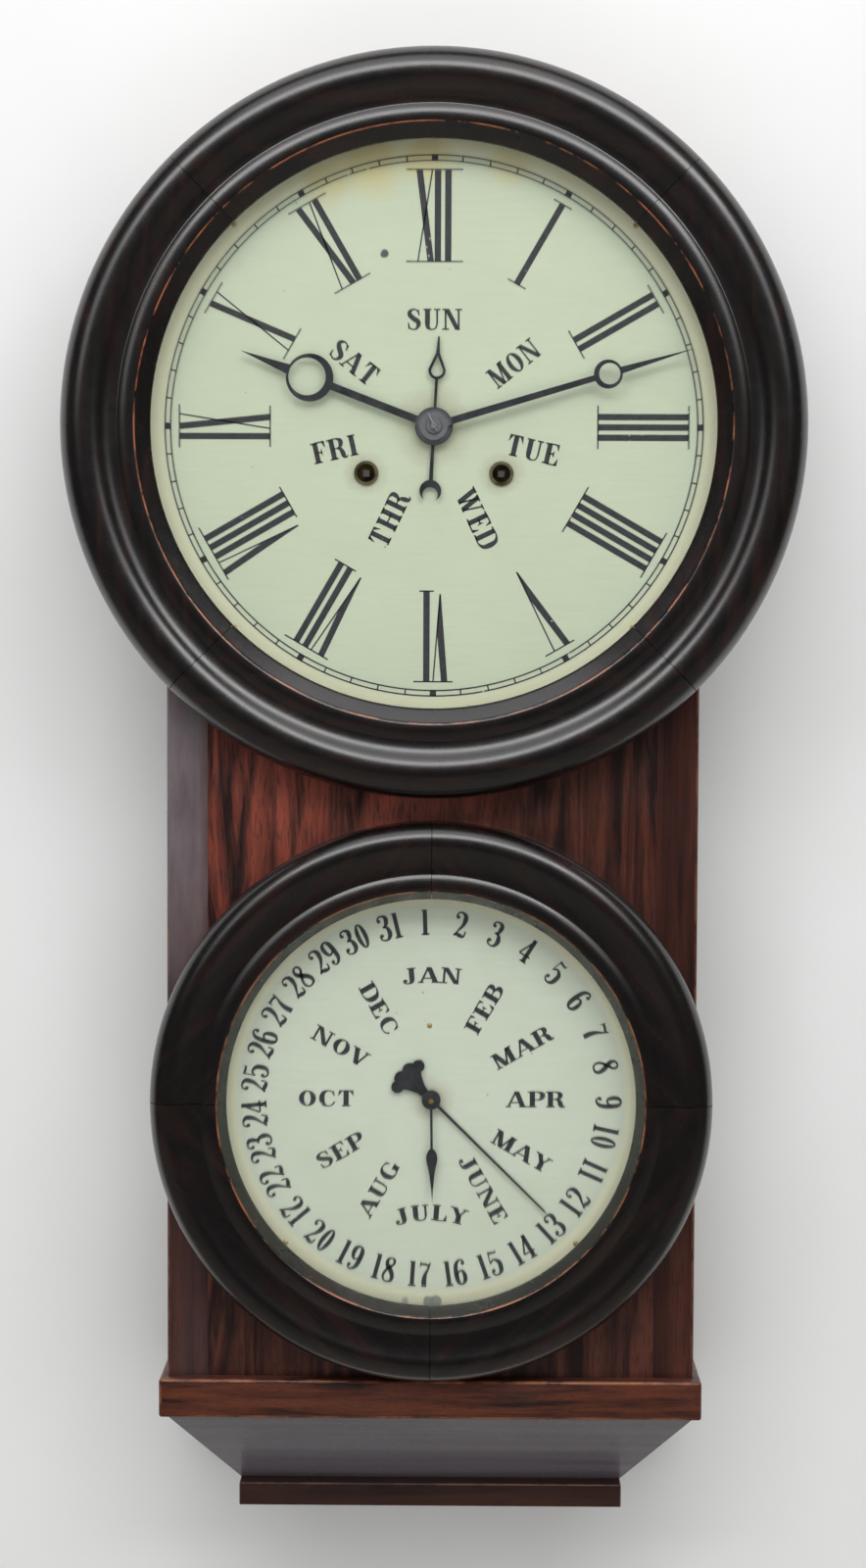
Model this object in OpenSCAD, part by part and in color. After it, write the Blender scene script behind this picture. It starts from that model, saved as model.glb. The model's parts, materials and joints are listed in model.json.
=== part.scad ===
// Double-dial calendar wall clock.
// Origin: centre of the hanger hole, on the wall plane. +Z up, the front faces -Y.
// Pieces that stand on an axis are drawn in a front view: X right, Y up and Z towards the viewer,
// with Z = 0 on the face of the front panel. The module front_view places them.

/* [Case] */
// Depth of the case from the wall to the face of the front panel
case_d = 92; // [88:1:110]
// Width of the body between the faces of the side boards
body_w = 291.2; // [284:0.2:300]
// Thickness of the front panel and the stiles
panel_t = 14; // [12:0.5:16]
// Thickness of the side boards and the top board
board_t = 12; // [9:0.5:15]
// Thickness of the back board
back_t = 8; // [6:0.5:10]
// Width of each front stile
stile_w = 22.5; // [18:0.5:26]
// How far the round head board stays inside the edge of the time bezel
head_setback = 15.4; // [12.4:0.2:19.4]
// Radius of the opening in the head board
head_open_r = 125; // [120:1:135]
// Radius of the opening in the panel behind the calendar dial
cal_open_r = 95; // [90:1:105]
// Height of the hanger hole above the axis of the time dial
hanger_rise = 160; // [155:1:175]
// Height of the top of the box above the axis of the time dial
box_rise = 140; // [120:1:142]
// Space between the two bezels on the centre line
ring_space = 12.8; // [9:0.1:35]

/* [Foot of the case] */
// Gap between the calendar bezel and the ledge
ledge_gap = 1.5; // [1:0.1:6]
// Height of the ledge
ledge_h = 21.4; // [15:0.2:28]
// How far the ledge stands in front of the panel
ledge_front = 9.4; // [6:0.2:14]
// How far the ledge stands out at each side
ledge_side = 3.9; // [2:0.1:8]
// Setback of the chin's top edge from the edge of the ledge
chin_setback = 4.2; // [2:0.1:8]
// Height of the sloping chin
chin_h = 45; // [35:1:60]
// How far the chin slopes in at the front and at each side
chin_in = 38; // [25:1:45]
// Thickness of the chin boards
chin_t = 8; // [6:0.5:10]
// Height of the plinth board
plinth_h = 12.9; // [9:0.1:18]
// How far the plinth stands in front of the chin's foot
plinth_out = 12.4; // [4:0.2:18]

/* [Hanger] */
// Radius of the hanger hole
hanger_hole_r = 4.5; // [3:0.1:6]
// Width of the hanger plate
hanger_w = 32; // [26:1:44]
// Thickness of the hanger plate
hanger_t = 2.5; // [1.5:0.1:4]
// Length of the hanger plate below the hole
hanger_l = 80; // [60:1:110]
// Radius of the hanger screws' shanks
hanger_screw_r = 1.8; // [1.2:0.1:2.4]

/* [Time bezel] */
// Sight radius of the time bezel
time_sight_r = 152.4; // [150:0.1:153]
// Width of the time bezel, from the sight edge to its outer edge
time_ring_w = 49; // [47:0.1:53]
// Thickness of the time bezel
time_ring_t = 28; // [26:0.5:34]
// Radius of the time bezel's outer roll
time_roll_r = 14; // [12:0.1:14.5]
// Steepest slope of the time bezel inside its roll, in degrees
time_slope = 38; // [35:1:42]
// Width of the time bezel's bevel, from the sight edge to the worn arris
time_bevel_w = 8.1; // [7:0.1:9]
// Height of the time bezel's sight edge above its back
time_sight_t = 17.6; // [16.5:0.1:19]

/* [Calendar bezel] */
// Sight radius of the calendar bezel
cal_sight_r = 111.7; // [110:0.1:112]
// Width of the calendar bezel, from the sight edge to its outer edge
cal_ring_w = 41.8; // [41:0.1:45]
// Thickness of the calendar bezel
cal_ring_t = 25; // [24:0.5:30]
// Radius of the calendar bezel's outer roll
cal_roll_r = 11; // [10:0.1:12]
// Steepest slope of the calendar bezel inside its roll, in degrees
cal_slope = 20; // [18:0.5:24]
// Width of the calendar bezel's bevel, from the sight edge to the worn arris
cal_bevel_w = 4.7; // [4.2:0.1:5.4]
// Height of the calendar bezel's sight edge above its back
cal_sight_t = 15.2; // [14.2:0.1:16]

/* [Bezel fittings] */
// Running gap between a closed bezel and the front panel
ring_gap = 0.4; // [0.3:0.1:1]
// Share of the width between arris and roll that the quarter round takes, the hollow taking the rest
round_share = 0.36; // [0.32:0.01:0.4]
// Width of the rebate behind the sight edge
rebate_w = 5.6; // [5:0.1:6]
// Thickness of the lip in front of the glass
lip_t = 1.6; // [1.2:0.1:2.2]
// Thickness of the glass
glass_t = 2; // [1.5:0.1:2.5]
// Height of the glazing bead
glazing_h = 3; // [2:0.1:4]
// Width of the glazing bead
glazing_w = 3.6; // [2.5:0.1:4]
// Radius of a catch peg
peg_r = 2; // [1.5:0.1:2.5]
// Length of a catch peg behind its bezel
peg_l = 8; // [6:0.5:11]
// Clearance round a catch peg in its hole
peg_play = 0.5; // [0.4:0.05:0.8]

/* [Hinges] */
// Height of a hinge
hinge_h = 20; // [16:0.5:24]
// Thickness of the hinge leaves
leaf_t = 1.2; // [1:0.1:1.4]
// Outer radius of the hinge knuckles
knuckle_r = 2.6; // [2.4:0.1:2.8]
// Radius of the hinge pins
hinge_pin_r = 1.2; // [1:0.05:1.4]
// Reach of a door leaf across the back of its bezel
leaf_reach = 10; // [8:0.5:12]
// Distance of the time bezel's hinges above and below its axis
time_hinge_z = 30; // [24:1:36]
// Distance of the calendar bezel's hinges above and below its axis
cal_hinge_z = 14; // [13:0.5:15]
// Gap between neighbouring knuckles
knuckle_gap = 0.3; // [0.2:0.05:0.6]
// Running clearance in bearings
run = 0.07; // [0.03:0.01:0.1]

/* [Dials] */
// How far the time dial reaches under the sight edge of its bezel
time_dial_lap = 3.1; // [2:0.1:3.6]
// How far the calendar dial reaches under the sight edge of its bezel
cal_dial_lap = 3.3; // [2:0.1:3.8]
// Thickness of the dials
dial_t = 1; // [0.6:0.1:1.4]
// Radius of the hole in the centre of the time dial
time_hole_r = 6; // [5.5:0.1:7]
// Radius of the hole in the centre of the calendar dial
cal_hole_r = 4; // [3.5:0.1:5]
// Distance of each winding hole from the middle
wind_x = 36.7; // [36:0.1:38]
// Distance of the winding holes below the axis
wind_y = 25.2; // [24.5:0.1:26]
// Inner radius of the winding grommets
grommet_bore_r = 4.97; // [4.6:0.01:5.2]
// Outer radius of the winding grommets
grommet_r = 6.65; // [6.2:0.05:7.2]
// Height of the grommets above the dial
grommet_h = 0.9; // [0.6:0.1:1.3]
// Height of the small pin above the centre of the calendar dial
cal_pin_y = 40.6; // [38:0.1:44]
// Radius of the heads of the dial pins
pin_head_r = 1.5; // [1.2:0.1:1.6]

/* [Hands] */
// Thickness of the hands
hand_t = 0.9; // [0.6:0.1:1.1]
// Length of the minute hand
minute_len = 146.8; // [142:0.2:149]
// Length of the hour hand
hour_len = 112.5; // [108:0.5:118]
// Length of the day hand
day_len = 48.6; // [44:0.2:54]
// Length of the date hand
date_len = 90.1; // [84:0.2:96]
// Length of the month hand
month_len = 57.4; // [52:0.2:60]
// Clock angle of the minute hand
minute_angle = 73.35; // [0:0.05:360]
// Clock angle of the hour hand
hour_angle = 291.1; // [0:0.05:360]
// Clock angle of the day hand
day_angle = 3; // [0:0.5:360]
// Clock angle of the date hand
date_angle = 134.6; // [0:0.05:360]
// Clock angle of the month hand
month_angle = 179.2; // [0:0.05:360]

/* [Movement] */
// Width of the movement plates
plate_w = 136; // [134:1:146]
// Height of the movement plates above the centre arbor
plate_up = 86; // [84:1:92]
// Height of the movement plates below the centre arbor
plate_down = 74; // [72:1:80]
// Thickness of the movement plates
plate_t = 2; // [1.6:0.1:2.2]
// Depth from the back plate to the back board, where the pendulum hangs
pendulum_room = 22; // [20:0.5:22]
// Distance from the front plate to the back of the dial
motion_gap = 18; // [18:0.1:19]
// Radius of the pillars
pillar_r = 3; // [2.5:0.1:3.5]
// Radius of the feet that carry the movement
foot_r = 4; // [3:0.1:5]
// Radius of the arbors
arbor_r = 1.5; // [1.3:0.05:1.6]
// Radius of the pivots
pivot_r = 1; // [0.8:0.05:1.1]
// Radius of the winding arbors
wind_arbor_r = 2.5; // [2.3:0.1:2.8]
// Side of the winding squares
wind_square = 3.5; // [3:0.1:3.6]
// Outer radius of a mainspring
spring_r = 27; // [24:0.5:27.5]
// Length of the pendulum from its suspension to the middle of the bob
pendulum_l = 248; // [235:1:260]
// Radius of the pendulum bob
bob_r = 24; // [20:0.5:26]
// Thickness of the pendulum bob
bob_t = 13; // [9:0.5:13.5]
// Radius of the bell
bell_r = 30; // [26:0.5:32]
// Thickness of the wheels
wheel_t = 1.5; // [1.2:0.1:1.6]

/* [Calendar work] */
// Width of the calendar plate
cal_plate_w = 216; // [212:1:230]
// Height of the calendar plate
cal_plate_h = 40; // [36:1:44]
// Radius of the date wheel
date_wheel_r = 33; // [30:0.5:33.5]
// Radius of the month wheel
month_wheel_r = 18; // [15:0.5:20]
// Radius of the day wheel
day_wheel_r = 12; // [10:0.1:12]
// Radius of the connecting rod's wire
rod_r = 0.8; // [0.6:0.05:0.85]
// Distance of the connecting rod from the middle
rod_x = 74; // [72:0.5:78]
// Length of the trip lever's arm to the connecting rod
trip_arm = 16; // [14:0.5:18]
// Length of the date lever's arm to the connecting rod
date_arm = 18; // [16:0.5:20]

/* [Hidden] */
// Slopes at the two ends of the bezels' quarter round, in degrees
round_out = 30;
round_in = 15;
$fn = 96;
tiny = 0.01;

// Clearance between neighbours that turn on their own, and the hairlines between glued boards
clear = 0.4;
mitre_gap = 0.05;
joint_angle = 0.02;

// Levels and half widths of the case
body_hw = body_w / 2;
inner_hw = body_hw - board_t;
time_z = -hanger_rise;
time_ring_r = time_sight_r + time_ring_w;
cal_ring_r = cal_sight_r + cal_ring_w;
time_dial_r = time_sight_r + time_dial_lap;
cal_dial_r = cal_sight_r + cal_dial_lap;
dial_gap = time_ring_r + cal_ring_r + ring_space;
cal_z = time_z - dial_gap;
head_r = time_ring_r - head_setback;
box_top = time_z + box_rise;
ledge_top = cal_z - cal_ring_r - ledge_gap;
ledge_bottom = ledge_top - ledge_h;
chin_bottom = ledge_bottom - chin_h;
ledge_hw = body_hw + ledge_side;
ledge_y = -case_d - ledge_front;
chin_hw = ledge_hw - chin_setback;
chin_y = ledge_y + chin_setback;
chin_foot_hw = chin_hw - chin_in;
chin_foot_y = chin_y + chin_in;
panel_back_y = -case_d + panel_t;
hanger_screw_levels = [-hanger_l + 10, -hanger_l + 26, -hanger_l + 42];

// Hinge axes: beside the flat on the head board, and beside the body
leaf_back = 0.8;
hinge_off = leaf_t + leaf_back + leaf_t;
time_flat_x = head_r - 4;
time_flat_h = 2 * (time_hinge_z + hinge_h / 2 + 6);
ring_back_y = -case_d - ring_gap;
hinge_y = ring_back_y + hinge_off;
time_hinge_x = time_flat_x + hinge_off;
cal_hinge_x = body_hw + hinge_off;
knuckle_h = (hinge_h - 2 * knuckle_gap) / 3;

// Catch pegs: on the back of the bezels, opposite the hinges
peg_seat = 6;
time_peg_x = -(head_r + time_dial_r) / 2;
cal_peg_x = -(body_hw - stile_w / 2);

// Heights over the front panel of what turns in front of the dials
day_t = 3;
hour_t = 5.2;
minute_t = 7.6;
centre_end_t = 12.5;
date_t = 2.6;
month_t = 5;
month_end_t = 9;

// Hubs and tails of the hands, and the taper pin through the centre arbor
hour_hub_r = 10.3;
minute_hub_r = 7.5;
date_hub_r = 5.15;
boss_h = 1.4;
day_tail = 34.8;
taper_r = 0.55;
taper_l = 10.6;
taper_head = 3.4;
taper_dir = 116.6;
taper_t = centre_end_t - 1.3;

// Fittings of the dials
grommet_neck_r = (grommet_r + grommet_bore_r) / 2;
dial_pin_r = 0.7;
time_pin_circle = time_dial_r - pin_head_r - 0.3;
cal_pin_circle = cal_dial_r - pin_head_r - 0.3;
cal_pin_x = -1.1;

// Levels of the movement, from the face of the front panel
front_plate_t = -motion_gap;
inner_front_t = front_plate_t - plate_t;
plate_gap = case_d - back_t - motion_gap - 2 * plate_t - pendulum_room;
inner_back_t = inner_front_t - plate_gap;
back_plate_t = inner_back_t - plate_t;
board_face_t = -(case_d - back_t);
time_great_level = inner_back_t + 3;
strike_great_level = inner_back_t + 6.5;
centre_level = inner_front_t - 10;
third_level = inner_front_t - 18;
escape_level = inner_front_t - 24;
strike_level = inner_front_t - 6;
crutch_t = back_plate_t - 4;
pendulum_t = back_plate_t - 10;
hour_wheel_t = front_plate_t + 4.6;
trip_wheel_t = hour_wheel_t + wheel_t + 0.4;
day_wheel_t = -7.5;
date_wheel_t = -9;
month_wheel_t = -12.5;
square_end_t = -0.8;

// Going train
great_teeth = 84;
centre_leaves = 7;
centre_teeth = 72;
third_leaves = 8;
third_teeth = 76;
escape_leaves = 8;
escape_teeth = 42;
escape_r = 17.5;
great_dist = sqrt(wind_x * wind_x + wind_y * wind_y);
great_m = 2 * great_dist / (great_teeth + centre_leaves);
centre_m = 0.72;
third_m = 0.58;
third_dir = 65;
third_dist = centre_m * (centre_teeth + third_leaves) / 2;
third_pos = third_dist * [cos(third_dir), sin(third_dir)];
escape_dist = third_m * (third_teeth + escape_leaves) / 2;
escape_pos = [0, third_pos[1] + sqrt(escape_dist * escape_dist - third_pos[0] * third_pos[0])];
third_to_escape = atan2(escape_pos[1] - third_pos[1], escape_pos[0] - third_pos[0]);
pallet_y = escape_pos[1] + 24.6;
great_pos = [wind_x, -wind_y];

// Strike train
strike_teeth = 72;
strike_leaves = 7;
fly_leaves = 8;
strike_m = 0.72;
strike_dir = 76;
strike_great_pos = [-wind_x, -wind_y];
strike_pos = strike_great_pos + great_dist * [cos(strike_dir), sin(strike_dir)];
fly_dir = 95;
fly_dist = strike_m * (strike_teeth + fly_leaves) / 2;
fly_pos = strike_pos + fly_dist * [cos(fly_dir), sin(fly_dir)];
hammer_pos = [0, -58];
bell_pos = [-45, -115];
hammer_head_r = 4.5;
hammer_head_l = 10;
bell_rim_t = inner_back_t + 18;
bell_h = 20;
bell_wall = 1.6;
bell_stud_r = 2;
bell_shoulder = 12;
hammer_t = bell_rim_t - 4;
rod_wire_r = 1.5;
cock_up = 3.2;
spring_up = 5;
cock_w = 12;
cock_h = 7;
coil_lift = 3;
coil_h = 0.41 * plate_gap;
coil_turns = 7;
coil_half = 0.4;
arbor_places = [
    great_pos, strike_great_pos, third_pos, escape_pos, [0, pallet_y], strike_pos, fly_pos, hammer_pos
];

// Motion work: the centre distance serves both pairs
cannon_teeth = 20;
minute_teeth = 60;
minute_leaves = 15;
hour_teeth = 60;
cannon_m = 0.5;
motion_dist = cannon_m * (cannon_teeth + minute_teeth) / 2;
hour_m = 2 * motion_dist / (minute_leaves + hour_teeth);
minute_pos = [0, motion_dist];
hour_leaves = 24;
trip_teeth = 48;
trip_m = 0.55;
trip_dir = -35;
trip_dist = trip_m * (hour_leaves + trip_teeth) / 2;
trip_pin_r = 0.8;
trip_pin_at = trip_dist - day_wheel_r - trip_pin_r - clear;
trip_pos = trip_dist * [cos(trip_dir), sin(trip_dir)];
cannon_r = 2.6;
hour_pipe_r = 3.7;
day_pipe_r = 4.8;

// Calendar work
day_teeth = 7;
date_teeth = 31;
month_teeth = 12;
date_pipe_r = 2.8;
trip_cam_r = 10.6;
lever_w = 4;
lever_end_r = lever_w / 2 + 0.3;
trip_pivot = [rod_x - trip_arm, -46];
trip_eye = [rod_x, trip_pivot[1]];
trip_tail = [20, -24.2];
date_lever_y = 30;
date_pivot = [rod_x - date_arm, date_lever_y];
date_eye = [rod_x, date_lever_y];
date_tail = [33.5, 12.5];
lever_t = 1.2;
trip_lever_t = front_plate_t + clear;
rod_t = -panel_t - clear - rod_r;
cal_plate_t = 2;
date_lever_t = -panel_t + 0.3;
eye_play = 0.35;

module front_view(z) {
    translate([0, -case_d, z]) rotate([90, 0, 0]) children();
}

module disc(r, t0, t1) {
    translate([0, 0, t0]) cylinder(r = r, h = t1 - t0);
}

module tube(r_in, r_out, t0, t1) {
    difference() {
        disc(r_out, t0, t1);
        disc(r_in, t0 - 1, t1 + 1);
    }
}

module slab(t0, t1) {
    translate([0, 0, t0]) linear_extrude(height = t1 - t0) children();
}

function arc(c, r, a0, a1, n) = [for (i = [0:n]) let (a = a0 + (a1 - a0) * i / n) c + r * [cos(a), sin(a)]];

// Wheel with plain straight-sided teeth, one tooth pointing at angle 0
function wheel_points(teeth, m, root_w, tip_w, add, ded) = [
    for (i = [0:teeth - 1])
        for (k = [0:3])
            let (
                side = [-root_w, -tip_w, tip_w, root_w][k],
                r = teeth * m / 2 + ((k == 0 || k == 3) ? -ded * m : add * m),
                a = (i + side) * 360 / teeth
            )
            r * [cos(a), sin(a)]
];

module wheel(teeth, m, t0, t1, phase) {
    rotate([0, 0, phase]) slab(t0, t1) polygon(wheel_points(teeth, m, 0.28, 0.12, 0.85, 1.15));
}

module fine_wheel(teeth, m, t0, t1, phase) {
    rotate([0, 0, phase]) slab(t0, t1) polygon(wheel_points(teeth, m, 0.26, 0.1, 0.75, 1.05));
}

// Ratchet or star wheel: pointed teeth
module star(teeth, r, depth, t0, t1) {
    slab(t0, t1) polygon([
        for (i = [0:2 * teeth - 1])
            let (rr = i % 2 == 0 ? r : r - depth, a = i * 180 / teeth) rr * [cos(a), sin(a)]
    ]);
}

// Lantern pinion: wires between two caps, one wire at angle 0
module lantern(leaves, m, t0, t1, phase) {
    pitch_r = leaves * m / 2;
    wire_r = 0.16 * PI * m;
    cap_t = 0.8;
    disc(pitch_r + wire_r + 0.4, t0, t0 + cap_t);
    disc(pitch_r + wire_r + 0.4, t1 - cap_t, t1);
    for (i = [0:leaves - 1])
        rotate([0, 0, phase + i * 360 / leaves]) translate([pitch_r, 0, 0])
            translate([0, 0, t0 + cap_t / 2]) cylinder(r = wire_r, h = t1 - t0 - cap_t, $fn = 16);
}

module arbor() {
    disc(arbor_r, inner_back_t + clear, inner_front_t - clear);
    disc(pivot_r, back_plate_t + tiny, front_plate_t - tiny);
}

module bar(a, b, w) {
    d = b - a;
    len = sqrt(d * d);
    translate(a) rotate([0, 0, atan2(d[1], d[0])]) translate([0, -w / 2]) square([len, w]);
}

// Case

module back_board() {
    color("#4a2a1a") difference() {
        translate([-inner_hw, -back_t, ledge_top]) cube([2 * inner_hw, back_t, box_top - ledge_top]);
        translate([-hanger_w / 2, -hanger_t, -hanger_l]) cube([hanger_w, hanger_t + 1, hanger_l + 50]);
        for (z = hanger_screw_levels)
            translate([0, 1, z]) rotate([90, 0, 0]) cylinder(r = hanger_screw_r, h = back_t);
    }
}

module side_boards() {
    color("#5a2a1c") for (s = [-1, 1])
        translate([s > 0 ? inner_hw : -body_hw, panel_back_y, ledge_top])
            cube([board_t, -panel_back_y, box_top - ledge_top]);
}

module top_board() {
    color("#5a2a1c") translate([-inner_hw, panel_back_y, box_top - board_t])
        cube([2 * inner_hw, -panel_back_y - back_t, board_t]);
}

module front_panel() {
    color("#6b2a1c") front_view(0) slab(-panel_t, 0) difference() {
        union() {
            translate([0, time_z]) circle(r = head_r, $fn = 180);
            translate([-body_hw + stile_w, ledge_top])
                square([2 * (body_hw - stile_w), time_z - ledge_top]);
        }
        translate([0, time_z]) circle(r = head_open_r, $fn = 120);
        translate([0, cal_z]) circle(r = cal_open_r, $fn = 120);
        translate([time_flat_x, time_z - time_flat_h / 2]) square([10, time_flat_h]);
        translate([time_peg_x, time_z]) circle(r = peg_r + peg_play, $fn = 32);
    }
}

module front_stiles() {
    color("#4a2218") front_view(0) slab(-panel_t, 0) difference() {
        for (s = [-1, 1])
            translate([s > 0 ? body_hw - stile_w : -body_hw, ledge_top])
                square([stile_w, time_z - ledge_top]);
        translate([0, time_z]) circle(r = head_r, $fn = 180);
        translate([cal_peg_x, cal_z]) circle(r = peg_r + peg_play, $fn = 32);
    }
}

module ledge_board() {
    color("#4a2418") translate([0, 0, ledge_bottom]) linear_extrude(height = ledge_h)
        polygon([
            [-ledge_hw, 0], [-ledge_hw, ledge_y + 1.5], [-ledge_hw + 1.5, ledge_y],
            [ledge_hw - 1.5, ledge_y], [ledge_hw, ledge_y + 1.5], [ledge_hw, 0]
        ]);
}

// One sloping board, drawn along X with its outer face from the chin's top edge to its foot
module chin_slope(half, edge) {
    rotate([90, 0, 90]) translate([0, 0, -half]) linear_extrude(height = 2 * half)
        polygon([
            [edge, ledge_bottom], [edge + chin_in, chin_bottom],
            [edge + chin_in + chin_t, chin_bottom], [edge + chin_t, ledge_bottom]
        ]);
}

module chin_boards() {
    color("#4d3a34") {
        intersection() {
            chin_slope(chin_hw + 2, chin_y);
            chin_mitre([
                [-chin_hw - 1, chin_y - 1 - mitre_gap], [chin_hw + 1, chin_y - 1 - mitre_gap],
                [chin_hw + chin_y - mitre_gap, 0], [-chin_hw - chin_y + mitre_gap, 0]
            ]);
        }
        for (s = [-1, 1]) intersection() {
            rotate([0, 0, 90 * s]) translate([0, -chin_hw - chin_y, 0])
                chin_slope(2 * chin_hw, chin_y);
            chin_mitre([
                [s * (chin_hw + 1), chin_y - 1], [s * (chin_hw + 1), 0], [s * (chin_hw + chin_y), 0]
            ]);
        }
        rotate([90, 0, 0]) linear_extrude(height = chin_t)
            polygon([
                [-chin_hw + chin_t + mitre_gap, ledge_bottom], [chin_hw - chin_t - mitre_gap, ledge_bottom],
                [chin_foot_hw - chin_t - mitre_gap, chin_bottom],
                [-chin_foot_hw + chin_t + mitre_gap, chin_bottom]
            ]);
    }
}

module chin_mitre(points) {
    translate([0, 0, chin_bottom - 1]) linear_extrude(height = chin_h + 2) polygon(points);
}

module plinth_board() {
    color("#2e1812") translate([-chin_foot_hw, chin_foot_y - plinth_out, chin_bottom - plinth_h])
        cube([2 * chin_foot_hw, -(chin_foot_y - plinth_out), plinth_h]);
}

module wall_hanger() {
    color("#55504a") rotate([90, 0, 0]) difference() {
        union() {
            disc(hanger_w / 2, 0, hanger_t);
            translate([-hanger_w / 2, -hanger_l, 0]) cube([hanger_w, hanger_l, hanger_t]);
        }
        disc(hanger_hole_r, -1, hanger_t + 1);
        for (z = hanger_screw_levels) translate([0, z, 0]) disc(hanger_screw_r, -1, hanger_t + 1);
    }
}

module hanger_screws() {
    color("#6d675c") for (z = hanger_screw_levels) translate([0, 0, z]) rotate([90, 0, 0]) {
        disc(hanger_screw_r, 0, back_t - 1);
        difference() {
            disc(hanger_screw_r, 0, 0.4);
            translate([-hanger_screw_r, -0.3, -1]) cube([2 * hanger_screw_r, 0.6, 1.3]);
        }
    }
}

// Hinges

module knuckle(x, z0, h, bore) {
    translate([x, hinge_y, z0]) difference() {
        cylinder(r = knuckle_r, h = h, $fn = 40);
        translate([0, 0, -1]) cylinder(r = bore, h = h + 2, $fn = 40);
    }
}

// Leaf on the case: outer knuckles, and a plate notched round the middle one
module frame_leaf(x, z) {
    low = z - hinge_h / 2;
    flat = x - hinge_off;
    for (z0 = [low, low + 2 * (knuckle_h + knuckle_gap)]) {
        knuckle(x, z0, knuckle_h, hinge_pin_r);
        difference() {
            translate([flat, hinge_y, z0]) cube([leaf_t, panel_back_y - 1 - hinge_y, knuckle_h]);
            translate([x, hinge_y, z0 - 1]) cylinder(r = hinge_pin_r, h = hinge_h);
        }
    }
    translate([flat, hinge_y + knuckle_r + knuckle_gap, low])
        cube([leaf_t, panel_back_y - 1 - hinge_y - knuckle_r - knuckle_gap, hinge_h]);
}

// Plate of a door leaf, let into the back of its bezel
module door_plate(x, z) {
    translate([x - leaf_reach, ring_back_y - leaf_t, z - hinge_h / 2])
        cube([leaf_reach + leaf_t / 2, leaf_t, hinge_h]);
}

// Leaf on the bezel: the plate, the middle knuckle and a web between them
module door_leaf(x, z) {
    mid = z - knuckle_h / 2;
    door_plate(x, z);
    knuckle(x, mid, knuckle_h, hinge_pin_r + run);
    difference() {
        translate([x - leaf_t / 2, ring_back_y - leaf_t, mid]) cube([leaf_t, leaf_t + hinge_off, knuckle_h]);
        translate([x, hinge_y, mid - 1]) cylinder(r = hinge_pin_r + run, h = knuckle_h + 2, $fn = 40);
    }
}

module hinge_frame_leaves() {
    color("#8b7440") {
        for (s = [-1, 1]) frame_leaf(time_hinge_x, time_z + s * time_hinge_z);
        for (s = [-1, 1]) frame_leaf(cal_hinge_x, cal_z + s * cal_hinge_z);
    }
}

module hinge_pins() {
    color("#6b5a34") {
        for (s = [-1, 1]) hinge_pin(time_hinge_x, time_z + s * time_hinge_z);
        for (s = [-1, 1]) hinge_pin(cal_hinge_x, cal_z + s * cal_hinge_z);
    }
}

module hinge_pin(x, z) {
    translate([x, hinge_y, z - hinge_h / 2]) cylinder(r = hinge_pin_r, h = hinge_h, $fn = 40);
}

module time_hinge_leaves() {
    color("#8b7440") for (s = [-1, 1])
        door_leaf(time_hinge_x, time_z + s * time_hinge_z);
}

module calendar_hinge_leaves() {
    color("#8b7440") for (s = [-1, 1])
        door_leaf(cal_hinge_x, cal_z + s * cal_hinge_z);
}

// Bezels: roll, hollow and bead follow one another, then the arris and the bevel to the sight edge

function ring_profile(r, sight, t, roll, slope, bevel, sight_t) =
    let (
        roll_c = [r - roll, t - roll],
        arris_r = sight + bevel,
        groove_r = arris_r + round_share * (roll_c[0] - arris_r),
        hollow = (roll_c[0] - groove_r) / sin(slope) - roll,
        hollow_c = roll_c + (roll + hollow) * [-sin(slope), cos(slope)],
        round_r = (groove_r - arris_r) / (sin(round_out) + sin(round_in)),
        round_c = hollow_c - [round_r * sin(round_out), hollow + round_r * cos(round_out)]
    )
    concat(
        [[sight + rebate_w, 0], [r - 1.5, 0], [r, 1.5]],
        arc(roll_c, roll, 0, 90 + slope, 15),
        arc(hollow_c, hollow, slope - 94, -88, 8),
        arc(round_c, round_r, 90 - round_out, 90 + round_in, 7),
        [[sight, sight_t], [sight, sight_t - lip_t], [sight + rebate_w, sight_t - lip_t]]
    );

// Four glued segments, parted by a hairline joint
module ring_quarters(points, turn) {
    for (i = [0:3]) rotate([0, 0, turn + 90 * i])
        rotate_extrude(angle = 90 - joint_angle, $fn = 144) polygon(points);
}

module time_bezel() {
    color("#2a1512") difference() {
        front_view(time_z) translate([0, 0, ring_gap])
            ring_quarters(ring_profile(time_ring_r, time_sight_r, time_ring_t, time_roll_r, time_slope,
                time_bevel_w, time_sight_t), 45);
        front_view(time_z) translate([time_peg_x, 0, 0]) disc(peg_r, -1, ring_gap + peg_seat);
        for (s = [-1, 1]) door_plate(time_hinge_x, time_z + s * time_hinge_z);
    }
}

module calendar_bezel() {
    color("#2a1512") difference() {
        front_view(cal_z) translate([0, 0, ring_gap])
            ring_quarters(ring_profile(cal_ring_r, cal_sight_r, cal_ring_t, cal_roll_r, cal_slope,
                cal_bevel_w, cal_sight_t), 0);
        front_view(cal_z) translate([cal_peg_x, 0, 0]) disc(peg_r, -1, ring_gap + peg_seat);
        for (s = [-1, 1]) door_plate(cal_hinge_x, cal_z + s * cal_hinge_z);
    }
}

module glass(sight, sight_t) {
    top = ring_gap + sight_t - lip_t;
    disc(sight + rebate_w - 0.3, top - glass_t, top);
}

module glazing_bead(sight, sight_t) {
    top = ring_gap + sight_t - lip_t - glass_t;
    translate([0, 0, top]) rotate_extrude($fn = 144) polygon([
        [sight + rebate_w, 0], [sight + rebate_w - glazing_w, 0], [sight + rebate_w, -glazing_h]
    ]);
}

module time_glass() {
    color([0.8, 0.85, 0.85, 0.35]) front_view(time_z) glass(time_sight_r, time_sight_t);
}

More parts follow.
